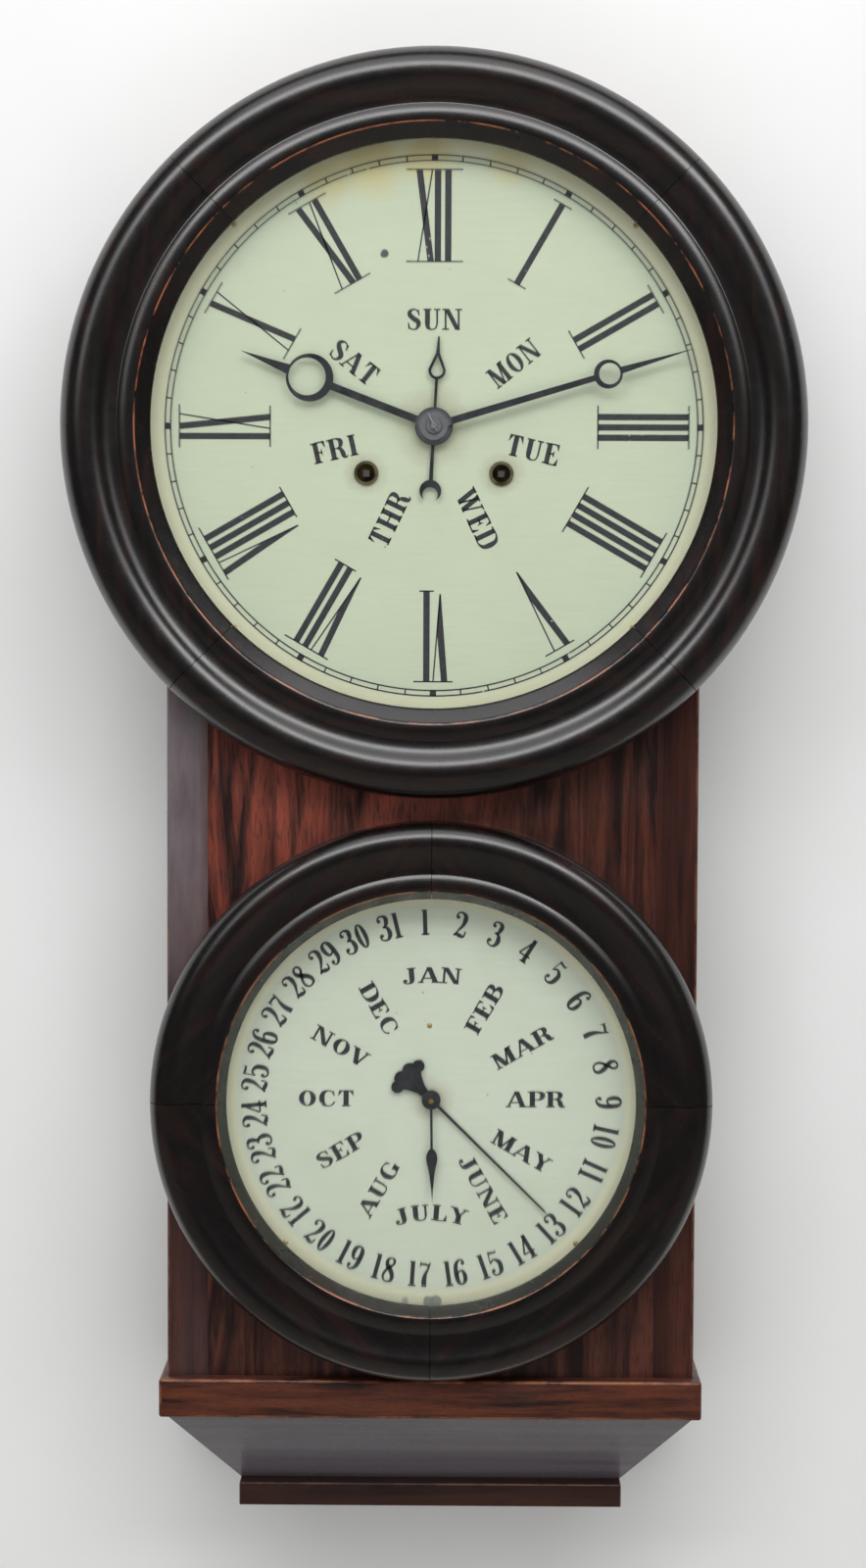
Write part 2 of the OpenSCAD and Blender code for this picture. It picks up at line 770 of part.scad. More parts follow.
module calendar_glass() {
    color([0.8, 0.85, 0.85, 0.35]) front_view(cal_z) glass(cal_sight_r, cal_sight_t);
}

module time_glazing_bead() {
    color("#3b2418") front_view(time_z) glazing_bead(time_sight_r, time_sight_t);
}

module calendar_glazing_bead() {
    color("#3b2418") front_view(cal_z) glazing_bead(cal_sight_r, cal_sight_t);
}

module catch_peg(x) {
    translate([x, 0, 0]) {
        disc(peg_r, -peg_l + peg_r, ring_gap + peg_seat);
        translate([0, 0, -peg_l + peg_r]) sphere(r = peg_r, $fn = 32);
    }
}

module time_catch_peg() {
    color("#8b7440") front_view(time_z) catch_peg(time_peg_x);
}

module calendar_catch_peg() {
    color("#8b7440") front_view(cal_z) catch_peg(cal_peg_x);
}

// Dials

module time_dial() {
    color("#c8d3b8") front_view(time_z) difference() {
        cylinder(r = time_dial_r, h = dial_t, $fn = 180);
        disc(time_hole_r, -1, dial_t + 1);
        for (s = [-1, 1]) translate([s * wind_x, -wind_y, 0]) disc(grommet_neck_r, -1, dial_t + 1);
        dial_pin_places(time_pin_circle, 45) disc(dial_pin_r, -1, dial_t + 1);
    }
}

module dial_pin_places(r, turn) {
    for (i = [0:3]) rotate([0, 0, turn + 90 * i]) translate([r, 0, 0]) children();
}

module calendar_dial() {
    color("#c9d2bf") front_view(cal_z) difference() {
        cylinder(r = cal_dial_r, h = dial_t, $fn = 180);
        disc(cal_hole_r, -1, dial_t + 1);
        dial_pin_places(cal_pin_circle, 45) disc(dial_pin_r, -1, dial_t + 1);
        translate([cal_pin_x, cal_pin_y, 0]) disc(dial_pin_r, -1, dial_t + 1);
    }
}

module dial_pin(depth) {
    disc(dial_pin_r, -depth, dial_t);
    translate([0, 0, dial_t]) intersection() {
        disc(pin_head_r, 0, 1);
        translate([0, 0, 0.7 - pin_head_r * 1.4]) sphere(r = pin_head_r * 1.4, $fn = 32);
    }
}

module dial_pins() {
    color("#8b7440") {
        front_view(time_z) dial_pin_places(time_pin_circle, 45) dial_pin(0);
        front_view(cal_z) {
            dial_pin_places(cal_pin_circle, 45) dial_pin(0);
            translate([cal_pin_x, cal_pin_y, 0]) dial_pin(0.5);
        }
    }
}

module winding_grommets() {
    color("#8b8468") front_view(time_z) for (s = [-1, 1]) translate([s * wind_x, -wind_y, 0]) {
        tube(grommet_bore_r, grommet_neck_r, 0, dial_t);
        tube(grommet_bore_r, grommet_r, dial_t, dial_t + grommet_h);
    }
}

// Hands: each is drawn pointing up and turned to its clock angle

module hand(angle, t) {
    rotate([0, 0, -angle]) slab(t, t + hand_t) children();
}

module day_hand() {
    loop_y = 0.62 * day_len;
    color("#2c2e33") front_view(time_z) difference() {
        hand(day_angle, day_t) {
            circle(r = day_pipe_r + 1.6, $fn = 48);
            translate([-0.75, -1]) square([1.5, loop_y - 3]);
            difference() {
                polygon(concat(
                    arc([0, loop_y], 4.7, 170, 370, 18),
                    [[1, loop_y + 9.6], [0.5, day_len], [-0.5, day_len], [-1, loop_y + 9.6]]
                ));
                polygon(concat(arc([0, loop_y], 3.2, 170, 370, 16), [[0, loop_y + 8]]));
            }
            polygon([[-1.1, -day_tail + 4.5], [1.1, -day_tail + 4.5], [0.7, 1], [-0.7, 1]]);
            difference() {
                translate([0, -day_tail]) circle(r = 5.9, $fn = 40);
                translate([0, -day_tail - 2.2]) circle(r = 4.2, $fn = 40);
            }
        }
        disc(day_pipe_r, 0, 10);
    }
}

module ring_hand(length, ring_at, ring_r, hole_r, off, w0, w1, tip_w) {
    shaft_end = ring_at - ring_r + 1;
    tip_start = ring_at + ring_r - 0.4;
    difference() {
        union() {
            polygon([[-w0 / 2, 0], [w0 / 2, 0], [w1 / 2, shaft_end], [-w1 / 2, shaft_end]]);
            translate([0, ring_at]) circle(r = ring_r, $fn = 64);
            polygon([[-tip_w / 2, tip_start], [tip_w / 2, tip_start], [0, length]]);
        }
        translate([0, ring_at + off]) circle(r = hole_r, $fn = 64);
    }
}

module hour_hand() {
    color("#2c2e33") front_view(time_z) difference() {
        hand(hour_angle, hour_t) {
            circle(r = hour_hub_r, $fn = 64);
            ring_hand(hour_len, 72.2, 12.9, 10.1, 1.5, 4.1, 4.1, 5.3);
        }
        disc(hour_pipe_r, 0, 10);
    }
}

module minute_hand() {
    color("#2c2e33") front_view(time_z) difference() {
        union() {
            hand(minute_angle, minute_t) {
                circle(r = minute_hub_r, $fn = 64);
                ring_hand(minute_len, 98.2, 7.8, 5.75, 0.8, 4, 3.2, 3.7);
            }
            translate([0, 0, minute_t + hand_t]) cylinder(r1 = 4.75, r2 = 4, h = boss_h);
        }
        disc(arbor_r + 0.6, 0, minute_t + hand_t);
        disc(arbor_r, 0, 20);
    }
}

module taper_pin() {
    color("#b9b7ad") front_view(time_z) taper_pin_shape();
}

module taper_pin_shape() {
    translate([0, 0, taper_t]) rotate([0, 0, taper_dir]) translate([-taper_head, 0, 0]) rotate([0, 90, 0])
        cylinder(r = taper_r, h = taper_l, $fn = 24);
}

module month_hand() {
    leaf = [[1.6, 27.7], [2.6, 29.5], [3.1, 31.6], [3, 33.4], [2.5, 35.8], [1.85, 38.6], [1.3, 42], [0.85, 47], [0.5, 49]];
    color("#2c2e33") front_view(cal_z) difference() {
        union() {
            hand(month_angle, month_t) {
                circle(r = date_hub_r, $fn = 48);
                translate([-0.67, 0]) square([1.34, 30]);
                polygon(concat([[0, 26.4]], leaf, [[0, month_len]], [for (k = [8:-1:0]) [-leaf[k][0], leaf[k][1]]]));
            }
            disc(3, month_t + hand_t, month_t + hand_t + 0.8);
        }
        disc(arbor_r, 0, 20);
    }
}

module date_hand() {
    color("#2c2e33") front_view(cal_z) difference() {
        hand(date_angle, date_t) {
            circle(r = date_hub_r, $fn = 48);
            polygon([[-0.8, -1], [0.8, -1], [0.5, date_len - 3], [0, date_len], [-0.5, date_len - 3]]);
            polygon(concat(
                [[2, -3], [-2, -3], [-3, -8], [-5.6, -13.1], [-8.6, -16.6], [-11.9, -19.2], [-9.5, -20.4]],
                [[0, -22], [9.5, -20.4], [11.9, -19.2], [8.6, -16.6], [5.6, -13.1], [3, -8]]
            ));
            for (s = [-1, 1]) {
                translate([s * 8.2, -18]) circle(r = 3.4, $fn = 32);
                translate([s * 3.1, -19.6]) circle(r = 4.2, $fn = 32);
            }
        }
        disc(date_pipe_r, 0, 10);
    }
}

// Movement frame

module plate_outline() {
    translate([-plate_w / 2, -plate_down]) square([plate_w, plate_up + plate_down]);
}

module at_corners() {
    for (s = [-1, 1]) {
        translate([s * (plate_w / 2 - 6), -plate_down + 6, 0]) children();
        translate([s * (plate_w / 2 - 6), plate_up - 6, 0]) children();
    }
}

module movement_back_plate() {
    color("#a8894a") front_view(time_z) {
        difference() {
            slab(back_plate_t, inner_back_t) plate_outline();
            for (p = arbor_places) translate(p) disc(pivot_r + run, -100, 0);
            disc(pivot_r + run, -100, 0);
        }
        difference() {
            translate([-cock_w / 2, pallet_y + cock_up, pendulum_t - 3])
                cube([cock_w, cock_h, back_plate_t - pendulum_t + 3 + tiny]);
            translate([-0.8, pallet_y, pendulum_t - 4]) cube([1.6, spring_up + 1, 8]);
        }
    }
}

module movement_front_plate() {
    color("#a8894a") front_view(time_z) difference() {
        slab(inner_front_t, front_plate_t) plate_outline();
        for (p = arbor_places) translate(p) disc(pivot_r + run, -100, 0);
        for (s = [-1, 1]) translate([s * wind_x, -wind_y, 0]) disc(wind_arbor_r + run, -100, 0);
        disc(arbor_r + run, -100, 0);
        for (p = [minute_pos, trip_pos, trip_pivot]) translate(p) disc(pivot_r, -100, 0);
    }
}

module movement_pillars() {
    color("#8e7440") front_view(time_z) at_corners() disc(pillar_r, inner_back_t, inner_front_t);
}

module movement_feet() {
    color("#6b665c") front_view(time_z) at_corners() {
        disc(foot_r, board_face_t, back_plate_t);
        disc(foot_r + 3, board_face_t, board_face_t + 2);
    }
}

// Mainspring: an open spiral band round a winding arbor
module mainspring(p, t0) {
    steps = 24;
    start_r = wind_arbor_r + 1.2;
    grow = (spring_r - start_r) / (coil_turns * steps);
    dirs = [for (i = [0:coil_turns * steps]) [cos(i * 360 / steps), sin(i * 360 / steps)]];
    outer = [for (i = [0:coil_turns * steps]) (start_r + grow * i + coil_half) * dirs[i]];
    inner = [for (i = [coil_turns * steps:-1:0]) (start_r + grow * i - coil_half) * dirs[i]];
    translate(p) slab(t0, t0 + coil_h) polygon(concat(outer, inner));
}

module mainsprings() {
    color("#4a5058") front_view(time_z) {
        mainspring(great_pos, time_great_level + coil_lift);
        mainspring(strike_great_pos, strike_great_level + coil_lift);
    }
}

// Going train

module great_wheel(p, level, dir) {
    translate(p) {
        wheel(great_teeth, great_m, level, level + wheel_t, dir - 180 / great_teeth);
        disc(wind_arbor_r, inner_back_t + clear, front_plate_t + 0.5);
        disc(pivot_r, back_plate_t + tiny, inner_back_t + 1);
        translate([0, 0, front_plate_t]) linear_extrude(height = -front_plate_t + square_end_t)
            square([wind_square, wind_square], center = true);
    }
}

module time_great_wheel() {
    color("#b08f4c") front_view(time_z)
        great_wheel(great_pos, time_great_level, atan2(wind_y, -wind_x));
}

module strike_great_wheel() {
    color("#b08f4c") front_view(time_z) great_wheel(strike_great_pos, strike_great_level, strike_dir);
}

module centre_arbor() {
    color("#9a8f78") front_view(time_z) difference() {
        union() {
            disc(arbor_r, inner_back_t + clear, centre_end_t);
            disc(pivot_r, back_plate_t + tiny, inner_back_t + 1);
            lantern(centre_leaves, great_m, time_great_level - 1.2, time_great_level + wheel_t + 1.2,
                atan2(-wind_y, wind_x));
            wheel(centre_teeth, centre_m, centre_level, centre_level + wheel_t,
                third_dir - 180 / centre_teeth);
            disc(cannon_r, front_plate_t + clear, minute_t);
            disc(arbor_r + 0.6, minute_t - 1, minute_t + hand_t);
            fine_wheel(cannon_teeth, cannon_m, front_plate_t + 1, front_plate_t + 3.5, 90);
        }
        taper_pin_shape();
    }
}

module third_wheel() {
    color("#b08f4c") front_view(time_z) translate(third_pos) {
        arbor();
        lantern(third_leaves, centre_m, centre_level - 1.2, centre_level + wheel_t + 1.2, third_dir + 180);
        wheel(third_teeth, third_m, third_level, third_level + wheel_t,
            third_to_escape - 180 / third_teeth);
    }
}

module escape_wheel() {
    color("#b08f4c") front_view(time_z) translate(escape_pos) {
        arbor();
        lantern(escape_leaves, third_m, third_level - 1.2, third_level + wheel_t + 1.2,
            third_to_escape + 180);
        slab(escape_level, escape_level + 1) polygon([
            for (i = [0:escape_teeth - 1])
                for (k = [0:1])
                    let (a = (i + 0.25 * k) * 360 / escape_teeth, r = k == 0 ? escape_r : escape_r - 2.2)
                    r * [cos(a), sin(a)]
        ]);
    }
}

module pallets() {
    color("#4a5058") front_view(time_z) translate([0, pallet_y, 0]) {
        disc(arbor_r, inner_back_t + clear, inner_front_t - clear);
        disc(pivot_r, crutch_t, front_plate_t - tiny);
        slab(escape_level - 0.2, escape_level + 1.2) {
            bar([-12, -6.5], [0, 0], 2);
            bar([12, -6.5], [0, 0], 2);
            translate([-12.2, -9]) square([1.6, 3]);
            translate([10.6, -9]) square([1.6, 3]);
            circle(r = 3, $fn = 32);
        }
        slab(crutch_t, crutch_t + 1.4) {
            circle(r = 2.5, $fn = 32);
            bar([0, 0], [0, -32], 1.6);
            translate([-3.5, -34]) square([7, 3]);
        }
        for (s = [-1, 1]) translate([s * 2.7 - 0.6, -34, pendulum_t - 1.5])
            cube([1.2, 3, crutch_t + 1 - pendulum_t + 1.5]);
    }
}

module pendulum_rod() {
    color("#7c7668") front_view(time_z) translate([0, pallet_y, pendulum_t]) {
        translate([-0.15, -12, -2.5]) cube([0.3, 12 + spring_up, 5]);
        translate([0, -11, 0]) rotate([90, 0, 0])
            cylinder(r = rod_wire_r, h = pendulum_l + bob_r - 5, $fn = 32);
        translate([0, -pendulum_l - bob_r - 1, 0]) rotate([90, 0, 0]) cylinder(r = 3.2, h = 3, $fn = 32);
    }
}

module pendulum_bob() {
    color("#a8894a") front_view(time_z) translate([0, pallet_y - pendulum_l, pendulum_t]) difference() {
        union() {
            disc(bob_r, -bob_t / 2 + 2.5, bob_t / 2 - 2.5);
            disc(bob_r - 3, -bob_t / 2, bob_t / 2);
        }
        translate([0, bob_r + 5, 0]) rotate([90, 0, 0])
            cylinder(r = rod_wire_r, h = 2 * bob_r + 10, $fn = 32);
    }
}

// Motion work and day work

module minute_wheel() {
    color("#b08f4c") front_view(time_z) translate(minute_pos) {
        fine_wheel(minute_teeth, cannon_m, front_plate_t + 1.4, front_plate_t + 2.9,
            270 - 180 / minute_teeth);
        fine_wheel(minute_leaves, hour_m, front_plate_t + 2.9, front_plate_t + 6.4, 270);
        disc(pivot_r - run, inner_front_t, front_plate_t + 7.5);
    }
}

module hour_wheel() {
    color("#b08f4c") front_view(time_z) difference() {
        union() {
            fine_wheel(hour_teeth, hour_m, hour_wheel_t, hour_wheel_t + wheel_t, 90 - 180 / hour_teeth);
            fine_wheel(hour_leaves, trip_m, hour_wheel_t + wheel_t, hour_wheel_t + wheel_t + 2.4, trip_dir);
            disc(hour_pipe_r, hour_wheel_t, hour_t + hand_t);
        }
        disc(cannon_r + run, -100, 10);
    }
}

module trip_wheel() {
    color("#b08f4c") front_view(time_z) translate(trip_pos) {
        fine_wheel(trip_teeth, trip_m, trip_wheel_t, trip_wheel_t + wheel_t,
            trip_dir + 180 - 180 / trip_teeth);
        disc(3, front_plate_t + 0.5, trip_wheel_t + wheel_t);
        disc(pivot_r - run, inner_front_t, front_plate_t + 1);
        slab(front_plate_t + 0.5, front_plate_t + 2.2) difference() {
            circle(r = trip_cam_r, $fn = 64);
            translate([-20, 6]) square([40, 10]);
        }
        translate([trip_pin_at, 0, 0]) disc(trip_pin_r, trip_wheel_t, day_wheel_t + wheel_t);
    }
}

module day_wheel() {
    color("#b08f4c") front_view(time_z) difference() {
        union() {
            star(day_teeth, day_wheel_r, 4.5, day_wheel_t, day_wheel_t + wheel_t);
            disc(day_pipe_r, day_wheel_t - 1, day_t + hand_t);
        }
        disc(hour_pipe_r + run, -100, 10);
    }
}

module trip_lever() {
    color("#8e8468") front_view(time_z) {
        slab(trip_lever_t, trip_lever_t + lever_t) difference() {
            union() {
                bar(trip_tail, trip_pivot, lever_w);
                bar(trip_pivot, trip_eye, lever_w);
                for (p = [trip_tail, trip_pivot, trip_eye]) translate(p) circle(r = lever_end_r, $fn = 32);
            }
            translate(trip_eye) circle(r = rod_r + eye_play, $fn = 32);
        }
        translate(trip_pivot) disc(pivot_r - run, inner_front_t, trip_lever_t + lever_t + 0.8);
    }
}

module connecting_rod() {
    top = trip_pivot[1];
    bottom = -dial_gap + date_lever_y;
    color("#8d877a") front_view(time_z) translate([rod_x, 0, 0]) {
        translate([0, top, rod_t]) rotate([90, 0, 0]) cylinder(r = rod_r, h = top - bottom, $fn = 24);
        translate([0, top, rod_t]) sphere(r = rod_r, $fn = 24);
        translate([0, bottom, rod_t]) sphere(r = rod_r, $fn = 24);
        translate([0, top, 0]) disc(rod_r, trip_lever_t - 0.2, rod_t);
        translate([0, bottom, 0]) disc(rod_r, rod_t, date_lever_t + lever_t + 0.4);
    }
}

// Strike train

module strike_wheel() {
    color("#b08f4c") front_view(time_z) translate(strike_pos) {
        arbor();
        lantern(strike_leaves, great_m, strike_great_level - 1.2, strike_great_level + wheel_t + 1.2,
            strike_dir + 180);
        wheel(strike_teeth, strike_m, strike_level, strike_level + wheel_t, fly_dir - 180 / strike_teeth);
    }
}

module fly() {
    color("#9a8f78") front_view(time_z) translate(fly_pos) {
        arbor();
        lantern(fly_leaves, strike_m, strike_level - 1.2, strike_level + wheel_t + 1.2, fly_dir + 180);
        translate([-13, -0.4, inner_back_t + 2]) cube([26, 0.8, 10]);
        disc(2.4, inner_back_t + 2, inner_back_t + 12);
    }
}

module hammer() {
    rim = bell_pos[0] + bell_r;
    head = [rim + clear, bell_pos[1]];
    color("#55504a") front_view(time_z) {
        translate(hammer_pos) {
            arbor();
            disc(3, hammer_t - 1.5, hammer_t + 1.5);
        }
        slab(hammer_t - 0.6, hammer_t + 0.6) bar(hammer_pos, head + [hammer_head_l / 2, 0], 2);
        translate([head[0], head[1], hammer_t]) rotate([0, 90, 0])
            cylinder(r = hammer_head_r, h = hammer_head_l);
    }
}

module bell() {
    color("#9c8450") front_view(time_z) translate([bell_pos[0], bell_pos[1], bell_rim_t]) rotate_extrude()
        difference() {
            polygon(concat(
                [[bell_r, 0]],
                arc([bell_r - bell_shoulder, -bell_h + bell_shoulder], bell_shoulder, 0, -90, 12),
                [[bell_stud_r, -bell_h], [bell_stud_r, 0]]
            ));
            polygon(concat([[bell_r - bell_wall, 1]],
                arc([bell_r - bell_shoulder, -bell_h + bell_shoulder], bell_shoulder - bell_wall, 0, -90, 12),
                [[0, -bell_h + bell_wall], [0, 1]]));
        }
}

module bell_post() {
    color("#6b665c") front_view(time_z) translate([bell_pos[0], bell_pos[1], 0]) {
        disc(3.5, board_face_t, bell_rim_t - bell_h);
        disc(7, board_face_t, board_face_t + 2);
        disc(bell_stud_r, bell_rim_t - bell_h, bell_rim_t - bell_h + bell_wall);
        disc(3.5, bell_rim_t - bell_h + bell_wall, bell_rim_t - bell_h + bell_wall + 2.5);
    }
}

// Calendar work

module calendar_plate() {
    back = -panel_t - cal_plate_t;
    color("#a8894a") front_view(cal_z) {
        difference() {
            slab(back, -panel_t) {
                translate([-cal_plate_w / 2, -cal_plate_h / 2]) square([cal_plate_w, cal_plate_h]);
                translate([date_pivot[0] - 6, 0]) square([12, date_lever_y + 5]);
            }
            disc(pivot_r + run, back - 1, 0);
            translate(date_pivot) disc(pivot_r + run, back - 1, 0);
        }
        for (x = [-1, 1]) translate([x * (cal_plate_w / 2 - 6), 0, 0]) disc(3, back - 1.6, back);
        translate([-(month_wheel_r + 8), 0, 0]) {
            disc(2, -panel_t, month_wheel_t + wheel_t);
            slab(month_wheel_t, month_wheel_t + wheel_t) translate([0, -1]) square([8 - clear, 2]);
        }
        translate([-(date_wheel_r + 8), 0, 0]) {
            disc(2, -panel_t, date_wheel_t + wheel_t);
            slab(date_wheel_t, date_wheel_t + wheel_t) translate([0, -1]) square([8 - clear, 2]);
        }
    }
}

module date_wheel() {
    color("#b08f4c") front_view(cal_z) difference() {
        union() {
            star(date_teeth, date_wheel_r, 3, date_wheel_t, date_wheel_t + wheel_t);
            disc(date_pipe_r, date_wheel_t - 1, date_t + hand_t + 0.6);
        }
        disc(arbor_r + run, -100, 20);
    }
}

module month_wheel() {
    color("#b08f4c") front_view(cal_z) {
        star(month_teeth, month_wheel_r, 4, month_wheel_t, month_wheel_t + wheel_t);
        disc(arbor_r, -panel_t + clear, month_end_t);
        disc(pivot_r, -panel_t - cal_plate_t, 0);
    }
}

module date_lever() {
    color("#8e8468") front_view(cal_z) {
        slab(date_lever_t, date_lever_t + lever_t) difference() {
            union() {
                bar(date_tail, date_pivot, lever_w);
                bar(date_pivot, date_eye, lever_w);
                for (p = [date_tail, date_pivot, date_eye]) translate(p) circle(r = lever_end_r, $fn = 32);
            }
            translate(date_eye) circle(r = rod_r + eye_play, $fn = 32);
        }
        translate(date_pivot) disc(pivot_r, -panel_t - cal_plate_t, date_lever_t + lever_t + 0.8);
        translate(date_tail) disc(1, date_lever_t, date_wheel_t + wheel_t);
    }
}

back_board();
side_boards();
top_board();
front_panel();
front_stiles();
ledge_board();
chin_boards();
plinth_board();
wall_hanger();
hanger_screws();
hinge_frame_leaves();
hinge_pins();
time_dial();
calendar_dial();
dial_pins();
winding_grommets();
time_bezel();
time_glass();
time_glazing_bead();
time_hinge_leaves();
time_catch_peg();
calendar_bezel();
calendar_glass();
calendar_glazing_bead();
calendar_hinge_leaves();
calendar_catch_peg();
day_hand();
hour_hand();
minute_hand();
taper_pin();
date_hand();
month_hand();
movement_back_plate();
movement_front_plate();
movement_pillars();
movement_feet();
mainsprings();
time_great_wheel();
centre_arbor();
third_wheel();
escape_wheel();
pallets();
pendulum_rod();
pendulum_bob();
minute_wheel();
hour_wheel();
strike_great_wheel();
strike_wheel();
fly();
hammer();
bell();
bell_post();
day_wheel();
trip_wheel();
trip_lever();
connecting_rod();
calendar_plate();
date_lever();
date_wheel();
month_wheel();
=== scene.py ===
"""The looks of a double-dial calendar wall clock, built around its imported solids.

Lengths in the pieces below are millimetres until a piece is placed, and metres after that.
A front drawing has x to the right, y up and z towards the viewer, with its origin on a dial's axis
in the plane of the panel's face.
"""

import json
import math

import bmesh
import bpy
from bpy.props import FloatProperty, FloatVectorProperty, PointerProperty
from bpy.types import Operator, Panel, PropertyGroup
from mathutils import Matrix, Vector


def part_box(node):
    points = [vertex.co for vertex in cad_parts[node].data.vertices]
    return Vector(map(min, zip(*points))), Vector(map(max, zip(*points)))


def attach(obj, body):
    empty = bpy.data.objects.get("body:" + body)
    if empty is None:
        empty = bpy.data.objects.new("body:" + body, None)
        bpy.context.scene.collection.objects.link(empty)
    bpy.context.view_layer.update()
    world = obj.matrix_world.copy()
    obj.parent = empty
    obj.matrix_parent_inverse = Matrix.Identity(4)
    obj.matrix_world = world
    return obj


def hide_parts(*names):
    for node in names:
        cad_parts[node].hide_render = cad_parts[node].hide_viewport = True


bl_info = {
    "name": "Calendar wall clock",
    "version": (1, 0, 0),
    "blender": (4, 5, 0),
    "location": "View3D > Sidebar > Clock",
    "description": "Builds the bezels, dials, case and finishes of a double-dial calendar wall clock",
    "category": "Add Mesh",
}

MM = 0.001
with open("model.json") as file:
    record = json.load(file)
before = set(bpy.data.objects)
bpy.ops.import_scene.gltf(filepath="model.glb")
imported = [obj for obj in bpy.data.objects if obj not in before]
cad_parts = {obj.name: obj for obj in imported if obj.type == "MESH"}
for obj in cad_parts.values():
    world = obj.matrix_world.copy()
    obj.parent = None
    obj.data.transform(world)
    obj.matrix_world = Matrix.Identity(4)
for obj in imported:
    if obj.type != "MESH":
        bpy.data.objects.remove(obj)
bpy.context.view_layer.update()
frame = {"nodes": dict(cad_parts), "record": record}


# ---------------------------------------------------------------- settings

def linear(code):
    """A hex colour as Blender's linear values."""
    parts = [int(code[i:i + 2], 16) / 255 for i in (1, 3, 5)]
    return tuple(p / 12.92 if p <= 0.04045 else ((p + 0.055) / 1.055) ** 2.4 for p in parts)


def opaque(code):
    return linear(code) + (1,)


def length(name, mm, description):
    return FloatProperty(name=name, description=description, default=mm * MM, min=0, unit="LENGTH")


def level(name, value, description):
    return FloatProperty(name=name, description=description, default=value, min=0, precision=3)


def angle(name, degrees, description):
    return FloatProperty(name=name, description=description, default=math.radians(degrees), min=0, unit="ROTATION")


def colour(name, code, description):
    return FloatVectorProperty(name=name, description=description, default=linear(code), size=3, min=0, max=1,
                               subtype="COLOR")


class ClockRings(PropertyGroup):
    """Sections of the two turned bezels."""
    time_outer: length("Time bezel radius", 201.4, "Outer radius of the upper bezel")
    time_sight: length("Time sight radius", 152.4, "Radius of the opening in the upper bezel")
    time_depth: length("Time bezel depth", 28, "How far the upper bezel stands out")
    time_roll: length("Time roll", 14, "Radius of the outer roll of the upper bezel")
    time_slope: angle("Time slope", 38, "Steepest slope inside the roll")
    time_bevel: length("Time bevel", 8.1, "Width of the bevel from the sight edge to the worn arris")
    time_round: level("Time quarter round", 0.36, "Share of the width from arris to roll that the quarter round takes")
    time_edge: length("Time sight edge", 17.6, "Height of the edge of the upper opening")
    calendar_outer: length("Calendar bezel radius", 153.5, "Outer radius of the lower bezel")
    calendar_sight: length("Calendar sight radius", 111.7, "Radius of the opening in the lower bezel")
    calendar_depth: length("Calendar bezel depth", 25, "How far the lower bezel stands out")
    calendar_roll: length("Calendar roll", 11, "Radius of the outer roll of the lower bezel")
    calendar_slope: angle("Calendar slope", 20, "Steepest slope inside the roll")
    calendar_bevel: length("Calendar bevel", 4.7, "Width of the bevel from the sight edge to the worn arris")
    calendar_round: level("Calendar quarter round", 0.36, "Share of that width in the lower bezel")
    calendar_edge: length("Calendar sight edge", 15.2, "Height of the edge of the lower opening")
    joint: length("Segment joint", 0.4, "Width of the dark line between two segments")


class ClockPrint(PropertyGroup):
    """The print of both dials."""
    track: length("Minute track radius", 146.5, "Radius of the outer line of the minute track")
    track_width: length("Minute track width", 2.95, "Distance between the two lines of the track")
    line: length("Hairline", 0.8, "Width of the thin lines")
    numeral_foot: length("Numeral foot", 89, "Radius of the inner end of the numerals")
    numeral_top: length("Numeral top", 138.3, "Radius of the outer end of the numerals")
    stem: length("Stem", 3.5, "Width of the thick strokes of the numerals")
    day_radius: length("Day radius", 55.3, "Radius at which the days stand")
    day_height: length("Day height", 11.4, "Height of the letters of the days")
    date_radius: length("Date radius", 97.6, "Radius at the middle of the dates")
    date_height: length("Date height", 14.1, "Height of the dates")
    month_radius: length("Month radius", 57.7, "Radius at which the months stand")
    month_height: length("Month height", 8.8, "Height of the letters of the months")


class ClockCase(PropertyGroup):
    """Rounding of the boards."""
    stile_round: length("Stile rounding", 1.6, "Rounding of the outer edges of the stiles")
    ledge_round: length("Ledge rounding", 1.5, "Rounding of the edges of the ledge")
    plinth_round: length("Plinth rounding", 0.8, "Rounding of the edges of the plinth")


class ClockFinishes(PropertyGroup):
    """Colours of the finishes."""
    bezel: colour("Bezel", "#0b0707", "Ebonised rosewood of the bezels")
    bezel_streak: colour("Bezel streak", "#29120f", "Brown streaks in the bezels")
    bezel_worn: colour("Bezel worn edge", "#a8623c", "Bare wood on the worn arris")
    # the red is painted lighter than the veneer: partly the veneer's own red, partly a painted sheen over the left of
    # the panel
    panel_left: colour("Panel, left", "#8a3f2e", "Red part of the panel veneer")
    panel_right: colour("Panel, right", "#53291d", "Brown part of the panel veneer")
    veneer_dark: colour("Veneer figure", "#22100f", "Dark lines of the veneer")
    case: colour("Case", "#452017", "Veneer of stiles and sides")
    ledge: colour("Ledge", "#5f2e1b", "Ledge board")
    # the grey of the sloping boards is painted sheen: the floor's reflection painted over their brown
    chin: colour("Chin", "#6c6870", "Sloping boards under the ledge")
    plinth: colour("Plinth", "#2b1610", "Plinth board")
    dial: colour("Time dial", "#c3cdb6", "Paint of the time dial")
    calendar_dial: colour("Calendar dial", "#ccd4c4", "Paint of the calendar dial")
    ink: colour("Ink", "#26282d", "Print of the dials")
    hand: colour("Hands", "#24262b", "Paint of the hands")
    brass: colour("Brass", "#a98c50", "Aged brass")
    wall: colour("Wall", "#eaebec", "Wall behind the clock")
    floor: colour("Floor", "#e6e5e1", "Floor")


